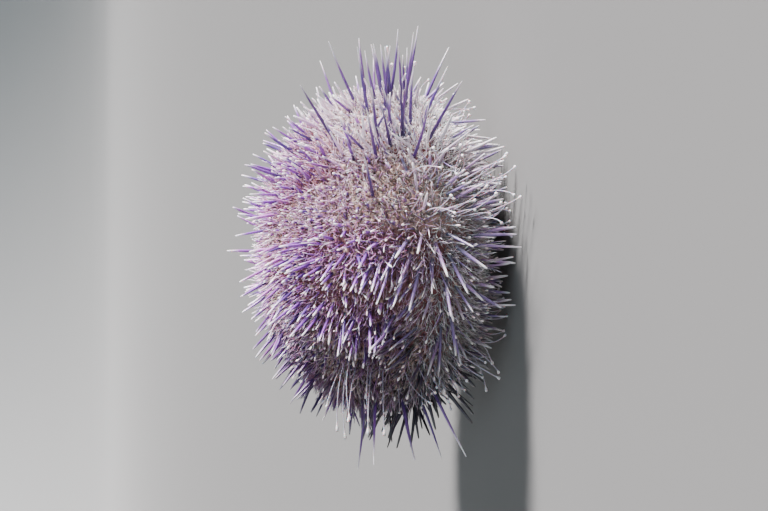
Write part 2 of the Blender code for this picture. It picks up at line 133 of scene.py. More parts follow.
class UrchinColours(bpy.types.PropertyGroup):
    """Colours of the animal."""

    violet: colour_property("Violet", "Shaft of a violet spine", (0.290, 0.080, 0.520))
    lilac: colour_property("Lilac", "Shaft of a pale violet spine", (0.580, 0.185, 0.630))
    ivory: colour_property("Ivory", "Shaft of a spine with no violet in it", (0.840, 0.570, 0.720))
    indigo: colour_property("Indigo", "Shaft of a tall spine", (0.105, 0.052, 0.250))
    dusk: colour_property("Dusk", "Lower part of a strongly coloured spine", (0.085, 0.032, 0.190))
    white: colour_property("White", "Tips of the spines", (0.980, 0.930, 0.960))
    cream: colour_property("Cream", "Fine spines along the rays", (0.850, 0.740, 0.650))
    umber: colour_property("Umber", "Fine spines round the widest part", (0.200, 0.148, 0.115))
    olive: colour_property("Olive", "Fine spines low on the sides", (0.350, 0.370, 0.365))
    rose: colour_property("Rose", "Fine spines between the rays", (0.850, 0.380, 0.440))
    steel: colour_property("Steel", "Cast of the spines low on the sides", (0.370, 0.425, 0.500))
    root: colour_property("Root", "Muscle collar round a spine's root", (0.300, 0.110, 0.110))
    skin: colour_property("Skin", "Skin between the spines", (0.140, 0.040, 0.045))
    pale_skin: colour_property("Pale skin", "Skin along the rays", (0.480, 0.330, 0.270))
    foot: colour_property("Tube feet", "Stalks of the tube feet", (0.480, 0.500, 0.580))
    tooth: colour_property("Teeth", "The five teeth", (0.880, 0.860, 0.780))
    floor: colour_property("Floor", "The studio floor", (0.145, 0.144, 0.142))
    far_floor: colour_property("Far floor", "The studio floor far behind", (0.290, 0.288, 0.284))


# Shader expressions


class Wire:
    """A shader socket that takes part in Python arithmetic."""

    def __init__(self, graph, socket):
        self.graph = graph
        self.socket = socket

    def __add__(self, other):
        return self.graph.math("ADD", self, other)

    def __sub__(self, other):
        return self.graph.math("SUBTRACT", self, other)

    def __rsub__(self, other):
        return self.graph.math("SUBTRACT", other, self)

    def __mul__(self, other):
        return self.graph.math("MULTIPLY", self, other)

    __radd__ = __add__
    __rmul__ = __mul__


class Graph:
    """The node tree of one Principled material."""

    def __init__(self, name, **constants):
        self.material = bpy.data.materials.new(name)
        self.material.use_nodes = True
        self.tree = self.material.node_tree
        self.shader = self.tree.nodes["Principled BSDF"]
        self.paint(**constants)

    def feed(self, socket, value):
        """Link a wire to a socket, or set the socket's value."""
        if isinstance(value, Wire):
            self.tree.links.new(value.socket, socket)
        elif socket.type == "RGBA" and len(value) == 3:
            socket.default_value = (*value, 1)
        else:
            socket.default_value = value

    def add(self, kind, settings, inputs, output=0):
        """Add any node: its settings first, then the values or links of its sockets."""
        node = self.tree.nodes.new(kind)
        for label, value in settings.items():
            setattr(node, label, value)
        for label, value in inputs.items():
            self.feed(node.inputs[label], value)
        return Wire(self, node.outputs[output])

    def math(self, operation, *values):
        """A Math node on wires and numbers."""
        return self.add("ShaderNodeMath", {"operation": operation}, dict(enumerate(values)))

    def clamp(self, value):
        """The value held between 0 and 1."""
        return self.add("ShaderNodeClamp", {}, {0: value})

    def ease(self, value, low, high):
        """A smooth step from 0 at low to 1 at high."""
        settings = {"interpolation_type": "SMOOTHSTEP"}
        return self.add("ShaderNodeMapRange", settings, {0: value, 1: low, 2: high, 3: 0.0, 4: 1.0})

    def blend(self, factor, first, second):
        """A colour between two others."""
        settings = {"data_type": "RGBA", "blend_type": "MIX"}
        return self.add("ShaderNodeMix", settings, {0: factor, 6: first, 7: second}, 2)

    def shade(self, colour, amount):
        """A colour made darker or lighter by a number."""
        grey = self.add("ShaderNodeCombineColor", {}, {0: amount, 1: amount, 2: amount})
        settings = {"data_type": "RGBA", "blend_type": "MULTIPLY"}
        return self.add("ShaderNodeMix", settings, {0: 1.0, 6: colour, 7: grey}, 2)

    def mark(self, name):
        """A number stored on the piece's own points."""
        return self.add("ShaderNodeAttribute", {"attribute_name": name}, {}, 2)

    def marks(self, *names):
        """Several of those numbers."""
        return [self.mark(name) for name in names]

    def place(self):
        """Where a point lies in object space."""
        return self.add("ShaderNodeTexCoord", {}, {}, 3)

    def noise(self, scale, detail=3.0, roughness=0.55):
        """Noise in object space, about 1 / scale metres wide."""
        inputs = {"Vector": self.place(), "Scale": scale, "Detail": detail, "Roughness": roughness}
        return self.add("ShaderNodeTexNoise", {}, inputs)

    def uneven(self, value, scale, size):
        """A value that noise raises and lowers."""
        return value + (self.noise(scale, 2.0) - 0.5) * size

    def cells(self, scale):
        """Distance to the nearest point of a scatter in object space."""
        return self.add("ShaderNodeTexVoronoi", {}, {"Vector": self.place(), "Scale": scale})

    def bump(self, height, strength, distance):
        """Feed a bump of a height to the shader's normal."""
        inputs = {"Strength": strength, "Distance": distance, "Height": height}
        self.paint(normal=self.add("ShaderNodeBump", {}, inputs))

    def paint(self, **channels):
        """Feed the shader's channels and give the material."""
        for label, value in channels.items():
            self.feed(self.shader.inputs[label.replace("_", " ").title()], value)
        return self.material


# The test as a surface


SLOPE_STEP = 0.004
FIRST_ROW = 0.012
LAST_ROW = 0.988
LAST_PLACE = 0.996
BAND_EDGE = 0.35


class TestSurface:
    """The turned outline of the test, read at a share down it and an angle about its axis."""

    def __init__(self, test):
        turn = np.linspace(0, np.pi, OUTLINE_SAMPLES)
        upper = turn <= np.pi / 2
        power = 2 / np.where(upper, test.upper_roundness, test.lower_roundness)
        reach = test.height * np.where(upper, 1 - test.ambitus, test.ambitus)
        level = test.clearance + test.height * test.ambitus
        self.test = test
        self.radii = test.diameter / 2 * np.abs(np.sin(turn)) ** power
        self.heights = level + reach * np.sign(np.cos(turn)) * np.abs(np.cos(turn)) ** power
        steps = np.hypot(np.diff(self.radii), np.diff(self.heights))
        self.lengths = np.concatenate([[0], np.cumsum(steps)])
        half = OUTLINE_SAMPLES // 2
        self.top_rim = np.interp(test.apical_radius, self.radii[:half], self.lengths[:half])
        self.mouth_rim = np.interp(-test.peristome_radius, -self.radii[half:], self.lengths[half:])
        self.span = self.mouth_rim - self.top_rim
        self.mouth_height = float(self.outline(1.0)[1])

    def outline(self, share):
        """Radius and height at a share of the way from the apical disc to the peristome."""
        length = self.top_rim + np.asarray(share) * self.span
        return np.interp(length, self.lengths, self.radii), np.interp(length, self.lengths, self.heights)

    def at(self, share, angle):
        """Points and outward normals, one row for each share and angle."""
        radius, height = self.outline(share)
        before = self.outline(share - SLOPE_STEP)
        after = self.outline(share + SLOPE_STEP)
        across, down = after[0] - before[0], before[1] - after[1]
        size = np.hypot(across, down)
        outward = np.stack([np.cos(angle), np.sin(angle), np.zeros_like(radius)], axis=-1)
        points = outward * radius[..., None] + np.stack([np.zeros_like(height)] * 2 + [height], axis=-1)
        normals = outward * (down / size)[..., None]
        normals[..., 2] += across / size
        return points + np.array([AXIS.x, AXIS.y, 0]), normals

    def off_ray(self, angle):
        """Angle from the middle of the nearest ambulacrum, positive anticlockwise."""
        return np.mod(angle - self.test.first_ray + INTERVAL / 2, INTERVAL) - INTERVAL / 2

    def band(self, angle):
        """0 along the middle of an ambulacrum, 1 along the middle of an interambulacrum."""
        return np.abs(self.off_ray(angle)) / (INTERVAL / 2)

    def places(self, spacing, draw, jitter, first=FIRST_ROW):
        """Staggered rows of places over every band: arrays of shares and angles."""
        rows = int(self.span * (LAST_ROW - first) / (spacing * math.sqrt(3) / 2)) + 1
        shares, angles = [], []
        edge = spacing * BAND_EDGE
        widths = (self.test.ray_width, INTERVAL - self.test.ray_width)
        for row, share in enumerate(np.linspace(first, LAST_ROW, rows)):
            radius, _ = self.outline(share)
            for ray in range(RAYS):
                for band, width in enumerate(widths):
                    middle = self.test.first_ray + ray * INTERVAL + band * INTERVAL / 2
                    usable = max(width * radius - 2 * edge, 0)
                    gaps = max(1, round(usable / spacing))
                    count = gaps + 1 if row % 2 == 0 else gaps
                    across = (np.arange(count) - (count - 1) / 2) * usable / gaps
                    angles.append(middle + (across + draw.normal(0, jitter * spacing, count)) / radius)
                    shares.append(share + draw.normal(0, jitter * spacing / self.span, count))
        return np.clip(np.concatenate(shares), first, LAST_PLACE), np.concatenate(angles)


def unit(vectors):
    """The vectors at length 1."""
    return vectors / np.linalg.norm(vectors, axis=-1, keepdims=True)


# The lie of the coat


WAVES = 5
WAVE_LENGTHS = (0.018, 0.045)
DRIFT = 0.22
DRIFT_SEED = 5
PARTING_SHARE = 0.57
PARTING_OFF = math.radians(-9)
PARTING_REACH = 0.026
PARTING_CORE = 0.004
APEX_REACH = 0.090
PARTED_RAYS = (0, 1, 2, 3)
COMB_FRONT = ((-0.022, 0.008), (1, 0))
COMB_SIDE = ((-0.016, 0.006), (1, 0))
COMB_HEIGHT = ((0.018, 0.038), (0, 1))
COMB = np.array((-0.58, 0.0, 0.50))
COMB_ABOVE = np.array((-0.15, 0.0, 0.31))
COMB_LEVELLING = 0.6

# Spots on the test: share, angle and reach
TANGLE = (0.45, math.radians(-72), 0.018)
VIOLET_SPOT = (0.40, math.radians(-86), 0.012)


def point_on(surface, share, angle):
    """One point of the test and its normal."""
    points, normals = surface.at(np.array([share]), np.array([angle]))
    return points[0], normals[0]


def smooth_lean(points, draw, size):
    """A lean that drifts slowly over the animal, so that neighbouring spines agree."""
    lean = np.zeros_like(points)
    for _ in range(WAVES):
        wave = draw.normal(0, 1, 3)
        wave *= 2 * math.pi / draw.uniform(*WAVE_LENGTHS) / np.linalg.norm(wave)
        lean += np.sin(points @ wave + draw.uniform(0, 2 * math.pi))[:, None] * draw.normal(0, 1, 3)
    return lean * size / 2


def lie_of_coat(surface, points, normals, strength):
    """How the coat leans: off a parting on most rays, out from the apex, and combed on the -Y side
    towards the apex, and towards -X as well on its -X quarter."""
    lean = smooth_lean(points, np.random.default_rng(DRIFT_SEED), DRIFT)
    front = np.interp(points[:, 1:2], *COMB_FRONT) * np.interp(points[:, 2:], *COMB_HEIGHT)
    quarter = np.interp(points[:, :1], *COMB_SIDE)
    combed = COMB - normals * np.array([1, 0, 1]) * COMB_LEVELLING
    lean += front * (combed * quarter + COMB_ABOVE * (1 - quarter))
    outward = (points - np.array(AXIS)) * np.array([1, 1, 0])
    outward -= normals * (outward * normals).sum(axis=1, keepdims=True)
    lean += outward / APEX_REACH * np.clip(normals[:, 2:], 0, 1)
    for ray in PARTED_RAYS:
        angle = surface.test.first_ray + PARTING_OFF + ray * INTERVAL
        middle, _ = point_on(surface, PARTING_SHARE, angle)
        away = points - middle
        away -= normals * (away * normals).sum(axis=1, keepdims=True)
        distance = np.linalg.norm(away, axis=1, keepdims=True)
        grip = distance / (distance + PARTING_CORE) * np.exp(-((distance / PARTING_REACH) ** 2))
        lean += away / (distance + TINY) * grip * strength
    return lean


def near_spot(surface, points, spot):
    """1 at a spot given by its share, angle and reach, fading to 0 round it."""
    share, angle, reach = spot
    middle, _ = point_on(surface, share, angle)
    return np.exp(-((np.linalg.norm(points - middle, axis=1) / reach) ** 2))


# Small forms repeated in joined meshes


class Shape:
    """A small closed form about the Z axis from 0 to 1, kept as arrays."""

    def __init__(self, profile, sides):
        bm = bmesh.new()
        turn_profile(bm, profile, sides)
        bm.verts.ensure_lookup_table()
        self.points = np.array([vertex.co for vertex in bm.verts])
        self.corners = np.array([loop.vert.index for face in bm.faces for loop in face.loops])
        self.starts = np.cumsum([0] + [len(face.verts) for face in bm.faces])[:-1]
        self.unwrap = np.array(
            [self.corner_place(face, loop) for face in bm.faces for loop in face.loops]
        )
        bm.free()

    @staticmethod
    def corner_place(face, loop):
        """How far round and along the form a corner lies, with no wrap inside a face."""
        middle = face.calc_center_median()
        turn = math.atan2(middle.y, middle.x)
        place = loop.vert.co
        if place.xy.length > TINY:
            turn += math.remainder(math.atan2(place.y, place.x) - turn, 2 * math.pi)
        return turn / (2 * math.pi) + 0.5, place.z


def turn_profile(bm, profile, steps, centre=(0, 0)):
    """Spin a profile of (radius, height) about an upright axis into a surface with its faces out."""
    points = [bm.verts.new((centre[0] + radius, centre[1], height)) for radius, height in profile]
    edges = [bm.edges.new(pair) for pair in zip(points, points[1:])]
    bmesh.ops.spin(
        bm, geom=points + edges, cent=(*centre, 0), axis=(0, 0, 1), dvec=(0, 0, 0),
        angle=2 * math.pi, steps=steps, use_merge=True,
    )
    bmesh.ops.remove_doubles(bm, verts=bm.verts[:], dist=TINY)
    bmesh.ops.recalc_face_normals(bm, faces=bm.faces[:])


def repeat(name, shape, path, radii, roots, marks, draw, **finish):
    """One piece of a shape bent along many three-point paths.

    path holds the starts, middles and ends, radii the thickness of each copy, roots the
    share and angle where each one grows, marks the numbers that its material reads, and
    finish its material and slot.
    """
    starts, middles, ends = path
    count = len(starts)
    height = shape.points[:, 2][None, :, None]
    centres = (
        starts[:, None] * (1 - height) ** 2
        + middles[:, None] * 2 * height * (1 - height)
        + ends[:, None] * height**2
    )
    forward = (middles - starts)[:, None] * (1 - height) + (ends - middles)[:, None] * height
    forward = unit(forward)
    side = np.cross(unit(ends - starts), unit(draw.normal(0, 1, (count, 3))))[:, None]
    side = unit(side - (side * forward).sum(axis=2, keepdims=True) * forward)
    across = np.cross(forward, side)
    spread = side * shape.points[None, :, 0:1] + across * shape.points[None, :, 1:2]
    points = centres + spread * np.asarray(radii)[:, None, None]
    points[..., 2] = np.maximum(points[..., 2], FLOOR_TOUCH)

    mesh = bpy.data.meshes.new(name)
    size = len(shape.points)
    corners = shape.corners[None] + np.arange(count)[:, None] * size
    starts_at = shape.starts[None] + np.arange(count)[:, None] * len(shape.corners)
    mesh.vertices.add(count * size)
    mesh.vertices.foreach_set("co", points.ravel())
    mesh.loops.add(corners.size)
    mesh.loops.foreach_set("vertex_index", corners.ravel())
    mesh.polygons.add(starts_at.size)
    mesh.polygons.foreach_set("loop_start", starts_at.ravel())
    mesh.update(calc_edges=True)
    mesh.shade_smooth()

    shares, angles = roots
    corner = np.stack([np.mod(angles / (2 * math.pi), 1), np.clip(shares, 0, 1)], axis=1)
    patches = corner[:, None] * (1 - BAKE_PATCH) + shape.unwrap[None] * BAKE_PATCH
    mesh.uv_layers.new(name="OFBake").data.foreach_set("uv", patches.ravel())
    wrapped = np.broadcast_to(shape.unwrap[None], patches.shape)
    mesh.uv_layers.new(name="Wrap").data.foreach_set("uv", wrapped.ravel())
    marks = dict(marks, along=np.broadcast_to(shape.points[None, :, 2], (count, size)))
    for label, values in marks.items():
        filled = values if values.ndim == 2 else np.repeat(values[:, None], size, axis=1)
        store_mark(mesh, label, filled.ravel())
    return add_piece(name, mesh, **finish)


def store_mark(mesh, label, values):
    """Keep a number on each point of a mesh."""
    layer = mesh.attributes.new(label, "FLOAT", "POINT")
    layer.data.foreach_set("value", values.astype(np.float32))


def add_piece(name, mesh, material, slot):
    """Link a finished mesh as a piece that rides on the animal, with its material. The slot is not used.
    """
    piece = bpy.data.objects.new(name, mesh)
    bpy.context.scene.collection.objects.link(piece)
    mesh.materials.append(material)
    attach(piece, "root")
    return piece


def mesh_from(bm, name):
    """Turn a bmesh into a smooth mesh and free it."""
    mesh = bpy.data.meshes.new(name)
    bm.to_mesh(mesh)
    bm.free()
    mesh.shade_smooth()
    return mesh


# Where the spines grow


SPINE_SHARES = (-0.1, 0.0, 0.2, 0.45, 0.60, 0.78, 1.0)
SPINE_FRACTIONS = (0.60, 0.77, 0.80, 0.92, 1.24, 1.06, 0.62)
FINE_FRACTIONS = (0.60, 0.64, 0.68, 0.98, 0.84, 0.74, 0.60)
FLANKS = ((-0.050, 0.050), (0, 1))
ROOT_SUNK = 0.0004
FLOOR_GAP = 0.0006
FLOOR_TOUCH = 0.0001
STANDING_SLOPE = -0.80
FLUTES = 14

# How the spines of one kind differ
LENGTH_SPREAD = (0.66, 1.06)
RADIUS_SPREAD = (0.80, 1.20)
LEAST_FACING = 0.25
TANGLE_DISORDER = 2.2
TANGLE_LENGTH = 0.25
LENGTH_BY_VIOLET = ((0.2, 0.9), (0.88, 1.10))
RADIUS_DOWN = ((0.4, 0.6), (1.06, 1.16))
THIN_DOWN = ((0.50, 0.62), (1.0, 0.4))
THIN_BETWEEN = ((0.72, 0.88), (0, 1))
THIN_RAY = ((0.26, 0.46), (1, 0))
FEWER_DOWN = (0.46, 0.62)
PRIMARY_FEWEST = 0.54
PRIMARY_SEED = 11

# How often a spine is ivory, strongly violet or slate, by the share down the test
IVORY_DOWN = ((0.22, 0.42, 0.8), (0.14, 0.48, 0.62))
STRONG_DOWN = ((0.0, 0.2, 0.5, 0.8), (0.30, 0.44, 0.28, 0.08))
SLATE_DOWN = ((0.10, 0.16, 0.38, 0.46), (0, 0.24, 0.24, 0.04))
# More ivory spines on the +X side, which faces the key light: painted light
IVORY_LIT_SIDE = ((0.018, 0.034), (0, 0.35))

# What rows, patches and the violet spot add to the first two of those
VIOLET_ROW = 0.67
VIOLET_ROW_WIDTH = 0.17
PATCH_SEED = 8
PATCH_SIZE = 0.5
IVORY_PULLS = (-0.30, -0.40, -0.5)
STRONG_PULLS = (0.34, 0.30, 0.5)

# The violet of a slate, an ivory and a strong spine, and of any other
VIOLETS = (1.4, 0.12, 0.92)
PLAIN_VIOLET = 0.48
VIOLET_SPREAD = 0.10
MOST_VIOLET = 1.5

# Tall spines: degrees of a meridian, then the shares of those that stand on it
TALL_ROWS = (
    (-36, (0.35, 0.60)),
    (-28, (0.46, 0.51, 0.56)),
    (-13, (0.54, 0.58)),
    (6, (0.50, 0.66)),
    (-46, (0.47, 0.53, 0.61)),
    (-55, (0.46, 0.56)),
    (-70, (0.44,)),
    (24, (0.44, 0.55)),
    (44, (0.50,)),
    (-157, (0.49, 0.56, 0.65)),
    (-164, (0.62,)),
    (172, (0.50, 0.60)),
)


class Growth(NamedTuple):
    """How one kind of spine grows: its size, how it follows the lie, its own disorder, how much
    shorter it is along the middle of each interambulacrum and in the tangle, and along the rays."""

    length: float
    radius: float
    follow: float
    lean: float
    bend: float
    seed: int
    thin: float = 0.0
    thin_ray: float = 0.0
    fractions: tuple = FINE_FRACTIONS


def ends_of(points, directions, lengths):
    """Where spines end: at their length, bent level over the floor, or standing on it."""
    ends = points + directions * lengths[:, None]
    low = ends[:, 2] < FLOOR_GAP
    standing = low & (directions[:, 2] < STANDING_SLOPE)
    drop = points[:, 2] - FLOOR_GAP
    reach = drop / np.maximum(-directions[:, 2], 0.1)
    ends[standing] = (points + directions * reach[:, None])[standing]
    level = unit(directions * np.array([1, 1, 0]) + 1e-9)
    along = np.sqrt(np.maximum(lengths**2 - drop**2, 0))
    bent = points + level * along[:, None] - np.array([0, 0, 1]) * drop[:, None]
    lying = low & ~standing
    ends[lying] = bent[lying]
    return ends


def violet_amount(surface, shares, angles, points, draw):
    """How violet each spine is: more so in rows beside the middle of each interambulacrum and in one
    spot, and over 1 on the few slate ones."""
    rows = np.exp(-(((surface.band(angles) - VIOLET_ROW) / VIOLET_ROW_WIDTH) ** 2))
    patches = smooth_lean(points, np.random.default_rng(PATCH_SEED), PATCH_SIZE)[:, 0]
    pulls = np.stack([rows, patches, near_spot(surface, points, VIOLET_SPOT)])
    # The +X side gets more ivory spines as painted light
    ivory = np.interp(shares, *IVORY_DOWN) + np.interp(points[:, 0], *IVORY_LIT_SIDE) + IVORY_PULLS @ pulls
    strong = np.interp(shares, *STRONG_DOWN) + STRONG_PULLS @ pulls
    slate = np.interp(shares, *SLATE_DOWN)
    chance = draw.uniform(0, 1, len(shares))
    kinds = (chance > 1 - slate, chance < ivory, chance > 1 - slate - strong)
    amount = np.select(kinds, VIOLETS, PLAIN_VIOLET) + draw.normal(0, VIOLET_SPREAD, len(shares))
    return np.clip(amount, 0, MOST_VIOLET)


def grow_spines(name, surface, shape, chosen, growth, parting, **finish):
    """Plant one spine at each chosen place and join them in one piece."""
    draw = np.random.default_rng(growth.seed)
    shares, angles = chosen
    points, normals = surface.at(shares, angles)
    lie = lie_of_coat(surface, points, normals, parting) * growth.follow
    tangled = near_spot(surface, points, TANGLE)
    disorder = draw.normal(0, 1, points.shape) * growth.lean * (1 + TANGLE_DISORDER * tangled[:, None])
    directions = unit(normals + lie + disorder)
    facing = (directions * normals).sum(axis=1, keepdims=True)
    directions = unit(directions + normals * np.maximum(LEAST_FACING - facing, 0))
    violet = violet_amount(surface, shares, angles, points, draw)
    band = surface.band(angles)
    thin = np.interp(shares, *THIN_DOWN)
    lengths = growth.length * np.interp(shares, SPINE_SHARES, growth.fractions)
    lengths *= draw.uniform(*LENGTH_SPREAD, len(shares)) * np.interp(violet, *LENGTH_BY_VIOLET)
    lengths *= 1 + (TANGLE_LENGTH - growth.thin) * tangled
    lengths *= 1 - growth.thin * thin * np.interp(band, *THIN_BETWEEN)
    lengths *= 1 - growth.thin_ray * thin * np.interp(band, *THIN_RAY)
    ends = ends_of(points, directions, lengths)
    starts = points - normals * ROOT_SUNK
    middles = (starts + ends) / 2 + draw.normal(0, 1, points.shape) * lengths[:, None] * growth.bend
    marks = {
        "violet": violet,
        "tone": draw.uniform(0, 1, len(shares)),
        "band": band,
        "share": shares,
        "flank": np.interp(points[:, 0], *FLANKS),
    }
    radii = growth.radius * draw.uniform(*RADIUS_SPREAD, len(shares)) * np.interp(shares, *RADIUS_DOWN)
    return repeat(name, shape, (starts, middles, ends), radii, chosen, marks, draw, **finish)


def pick(chosen, mask):
    """The places where a mask holds."""
    return chosen[0][mask], chosen[1][mask]


def sparser(chosen, draw, fewest):
    """The places with some left out below the widest part, where only that share of them stays."""
    kept = np.interp(chosen[0], FEWER_DOWN, (1.0, fewest))
    return pick(chosen, draw.uniform(0, 1, len(kept)) < kept)


def belts(chosen, count):
    """The places shared out among belts round the animal, about as many in each."""
    order = np.argsort(chosen[0], kind="stable")
    for number, part in enumerate(np.array_split(order, count)):
        yield number + 1, pick(chosen, np.sort(part))


# What the spines look like


def paint_lit_side(graph, colour, amount, share, flank, white):
    """Painted light: whiten a colour on the +X side, which faces the key light, below the crown, and
    less at its very end.
    """
    amount = amount * graph.ease(share, 0.26, 0.42)
    facing = graph.ease(flank, 0.88, 1.0)
    return graph.blend(amount * (0.8 - facing * 0.45), colour, white)


def spine_material(name, colours, strong, low, tip_from, collar_height, roughness):
    """Calcite shaft, ivory to lilac to a strong colour, with a white tip and a collar at the root.

    It is darker with painted shade towards its root, low on the test and on the -X side, steel grey low
    down, and whitened with painted light at +X.
    """
    graph = Graph(name, roughness=roughness, subsurface_weight=0.10, subsurface_scale=0.0006)
    along, tone, violet, share, flank = graph.marks("along", "tone", "violet", "share", "flank")
    shaft = graph.blend(graph.ease(violet, 0.0, 0.45), colours.ivory, colours.lilac)
    shaft = graph.blend(graph.ease(violet, 0.35, 1.05), shaft, strong)
    shaft = graph.blend(graph.ease(violet, 1.05, 1.30) * 0.85, shaft, colours.indigo)
    deep = graph.ease(along, 0.62, 0.12) * graph.ease(violet, 0.25, 0.9)
    shaft = graph.blend(deep, shaft, low)
    below = graph.ease(share, 0.38, 0.60)
    shaft = graph.blend(below * 0.40, shaft, colours.steel)
    # Painted shade: each shaft darker towards its root, where the other spines shade it
    painted_root_shade = graph.ease(along, 0.50, 0.05)
    shaft = graph.shade(shaft, tone * 0.40 + graph.noise(900.0) * 0.30 + 0.48 - painted_root_shade * 0.30)
    # Painted light: shafts whitened on the +X side, which faces the key light
    pale = graph.ease(flank, 0.72, 0.88) * graph.ease(violet, 0.7, 0.2)
    shaft = paint_lit_side(graph, shaft, pale, share, flank, colours.white)
    collar = graph.ease(along, collar_height, collar_height * 0.3)
    shaft = graph.blend(collar, shaft, colours.root)
    tip = graph.ease(along + tone * 0.22 - violet * 0.10, tip_from, 1.04)
    colour = graph.blend(tip, shaft, colours.white)
    # Painted shade: darker low on the test, towards the underside, and on the -X side, away from the key
    # light
    colour = graph.shade(colour, 1 - below * 0.26 - graph.ease(flank, 0.40, 0.10) * 0.68)
    wrap = graph.add("ShaderNodeUVMap", {"uv_map": "Wrap"}, {})
    around = graph.add("ShaderNodeSeparateXYZ", {}, {0: wrap})
    graph.bump(graph.math("SINE", around * (2 * math.pi * FLUTES)), 0.3, 0.00004)
    return graph.paint(base_color=colour)


def fuzz_material(name, colours, gain):
    """Fine spines: cream on the rays and rose between them near the top, umber round the widest
    part and olive grey low down, with lilac ones among them.

    Tips are paler, roots redder and darker, most of all along the middle of an interambulacrum. The
    roots and the -X side also carry painted shade; the lower part, the -X half and the +X side carry
    painted light.
    """
    graph = Graph(name, roughness=0.45, subsurface_weight=0.10, subsurface_scale=0.0005)
    along, tone, violet = graph.marks("along", "tone", "violet")
    share, band, flank = graph.marks("share", "band", "flank")
    share = graph.uneven(share, 110.0, 0.12)
    low = graph.ease(share, 0.48, 0.64)
    band = graph.uneven(band, 75.0, 0.8) - low * 0.4
    flank = graph.uneven(flank, 70.0, 0.2)
    beside = graph.ease(band + tone * 0.2, 0.20, 0.60)
    pink = graph.clamp(beside + graph.ease(share, 0.36, 0.22) * graph.ease(band, 0.0, 0.4) * 0.6)
    colour = graph.blend(pink * (1 - graph.ease(flank, 0.55, 0.35) * 0.5), colours.cream, colours.rose)
    rosy = graph.ease(graph.noise(60.0, 2.0), 0.54, 0.66)
    colour = graph.blend(graph.ease(share, 0.32, 0.50) * (0.88 - rosy * 0.55), colour, colours.umber)
    colour = graph.blend(low * 0.9, colour, colours.olive)
    lilac = graph.ease(violet + tone * 0.3 + graph.ease(share, 0.50, 0.30) * 0.25, 0.75, 1.15)
    colour = graph.blend(lilac * (0.8 - low * 0.6), colour, colours.lilac)
    colour = graph.blend(graph.ease(along + tone * 0.3, 0.55, 1.2) * 0.35, colour, colours.white)
    red = graph.ease(along - graph.ease(band, 0.78, 0.98) * 0.45, 0.45, -0.05)
    colour = graph.blend(red * (1 - low * 0.5), colour, colours.root)
    # Painted shade on the -X side and towards the roots, and painted light lifting the lower part and
    # the -X half
    dim = graph.ease(flank, 0.46, 0.10) * 0.34 + graph.ease(along, 0.8, 0.1) * (0.32 - low * 0.14)
    lift = low * 0.28 + graph.ease(flank, 0.60, 0.42) * 0.18 - 0.10
    colour = graph.shade(colour, tone * 0.60 + gain + lift - dim)
    # Painted light: whitened on the +X side, which faces the key light, less at the roots
    pale = graph.ease(flank, 0.74, 0.90) * graph.ease(along, 0.1, 0.4)
    return graph.paint(base_color=paint_lit_side(graph, colour, pale, share, flank, colours.white))


# Operators


class UrchinPiece:
    """What the operators share."""

    bl_options = {"REGISTER", "UNDO"}

    def read(self, context):
        """The sizes, the colours and the test's surface."""
        scene = context.scene
        return scene.urchin_test, scene.urchin_coat, scene.urchin_colours, TestSurface(scene.urchin_test)


class URCHIN_OT_skin(UrchinPiece, bpy.types.Operator):
    """Skin over the whole test, with a well for the mouth"""

    bl_idname = "urchin.skin"
    bl_label = "Skin"

    steps = 160
    rings = 80
    well_depth = 0.0030

    def execute(self, context):
        test, _, colours, surface = self.read(context)
        first = -surface.top_rim / surface.span
        radii, heights = surface.outline(np.linspace(first, 1.0, self.rings))
        radii[0] = 0
        profile = list(zip(radii, heights))
        profile += [(radii[-1], heights[-1] + self.well_depth), (0, heights[-1] + self.well_depth)]
        bm = bmesh.new()
        turn_profile(bm, profile, self.steps, AXIS.xy)
        mesh = mesh_from(bm, "skin")
        places = np.empty(len(mesh.vertices) * 3)
        mesh.vertices.foreach_get("co", places)
        places = places.reshape(-1, 3)
        angles = np.arctan2(places[:, 1] - AXIS.y, places[:, 0] - AXIS.x)
        ray = np.abs(surface.off_ray(angles)) / (test.ray_width / 2)
        store_mark(mesh, "ray", ray)
        skin = add_piece("skin", mesh, self.material(colours), "reddish_skin")
        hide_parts(*BODY_NODES)
        return {"FINISHED"}

    def material(self, colours):
        """Red-brown skin, paler along the rays, with fine pits and grains."""
        graph = Graph("urchin skin", roughness=0.5, subsurface_weight=0.1, subsurface_scale=0.001)
        patches = graph.noise(160.0)
        pale = graph.clamp(graph.ease(graph.mark("ray"), 1.25, 0.75) * 0.6 + (patches - 0.5) * 0.9)
        colour = graph.blend(pale, colours.skin, colours.pale_skin)
        graph.bump(graph.noise(2200.0, 2.0) + patches, 0.6, 0.0003)
        return graph.paint(base_color=colour)


class URCHIN_OT_tubercles(UrchinPiece, bpy.types.Operator):
    """The boss and knob under every primary spine"""

    bl_idname = "urchin.tubercles"
    bl_label = "Tubercles"

    profile = ((0, 0), (1.0, 0.0), (0.94, 0.35), (0.62, 0.50), (0.40, 0.85), (0, 1))
    height = 0.0012
    width = 0.0014
    seed = 14

    def execute(self, context):
        _, coat, colours, surface = self.read(context)
        chosen = primary_places(surface, coat)
        points, normals = surface.at(*chosen)
        draw = np.random.default_rng(self.seed)
        starts = points - normals * ROOT_SUNK
        ends = points + normals * (self.height - ROOT_SUNK)
        marks = {"tone": draw.uniform(0, 1, len(points))}
        widths = self.width * draw.uniform(0.8, 1.1, len(points))
        path = (starts, (starts + ends) / 2, ends)
        finish = {"material": self.material(colours), "slot": "reddish_skin"}
        repeat("tubercles", Shape(self.profile, 7), path, widths, chosen, marks, draw, **finish)
        return {"FINISHED"}

    def material(self, colours):
        """Skin that turns pale on the knobs."""
        graph = Graph("tubercles", roughness=0.42)
        along, tone = graph.marks("along", "tone")
        colour = graph.blend(graph.ease(along, 0.2, 0.9), colours.skin, colours.pale_skin)
        return graph.paint(base_color=graph.shade(colour, tone * 0.3 + graph.noise(1500.0) * 0.3 + 0.7))


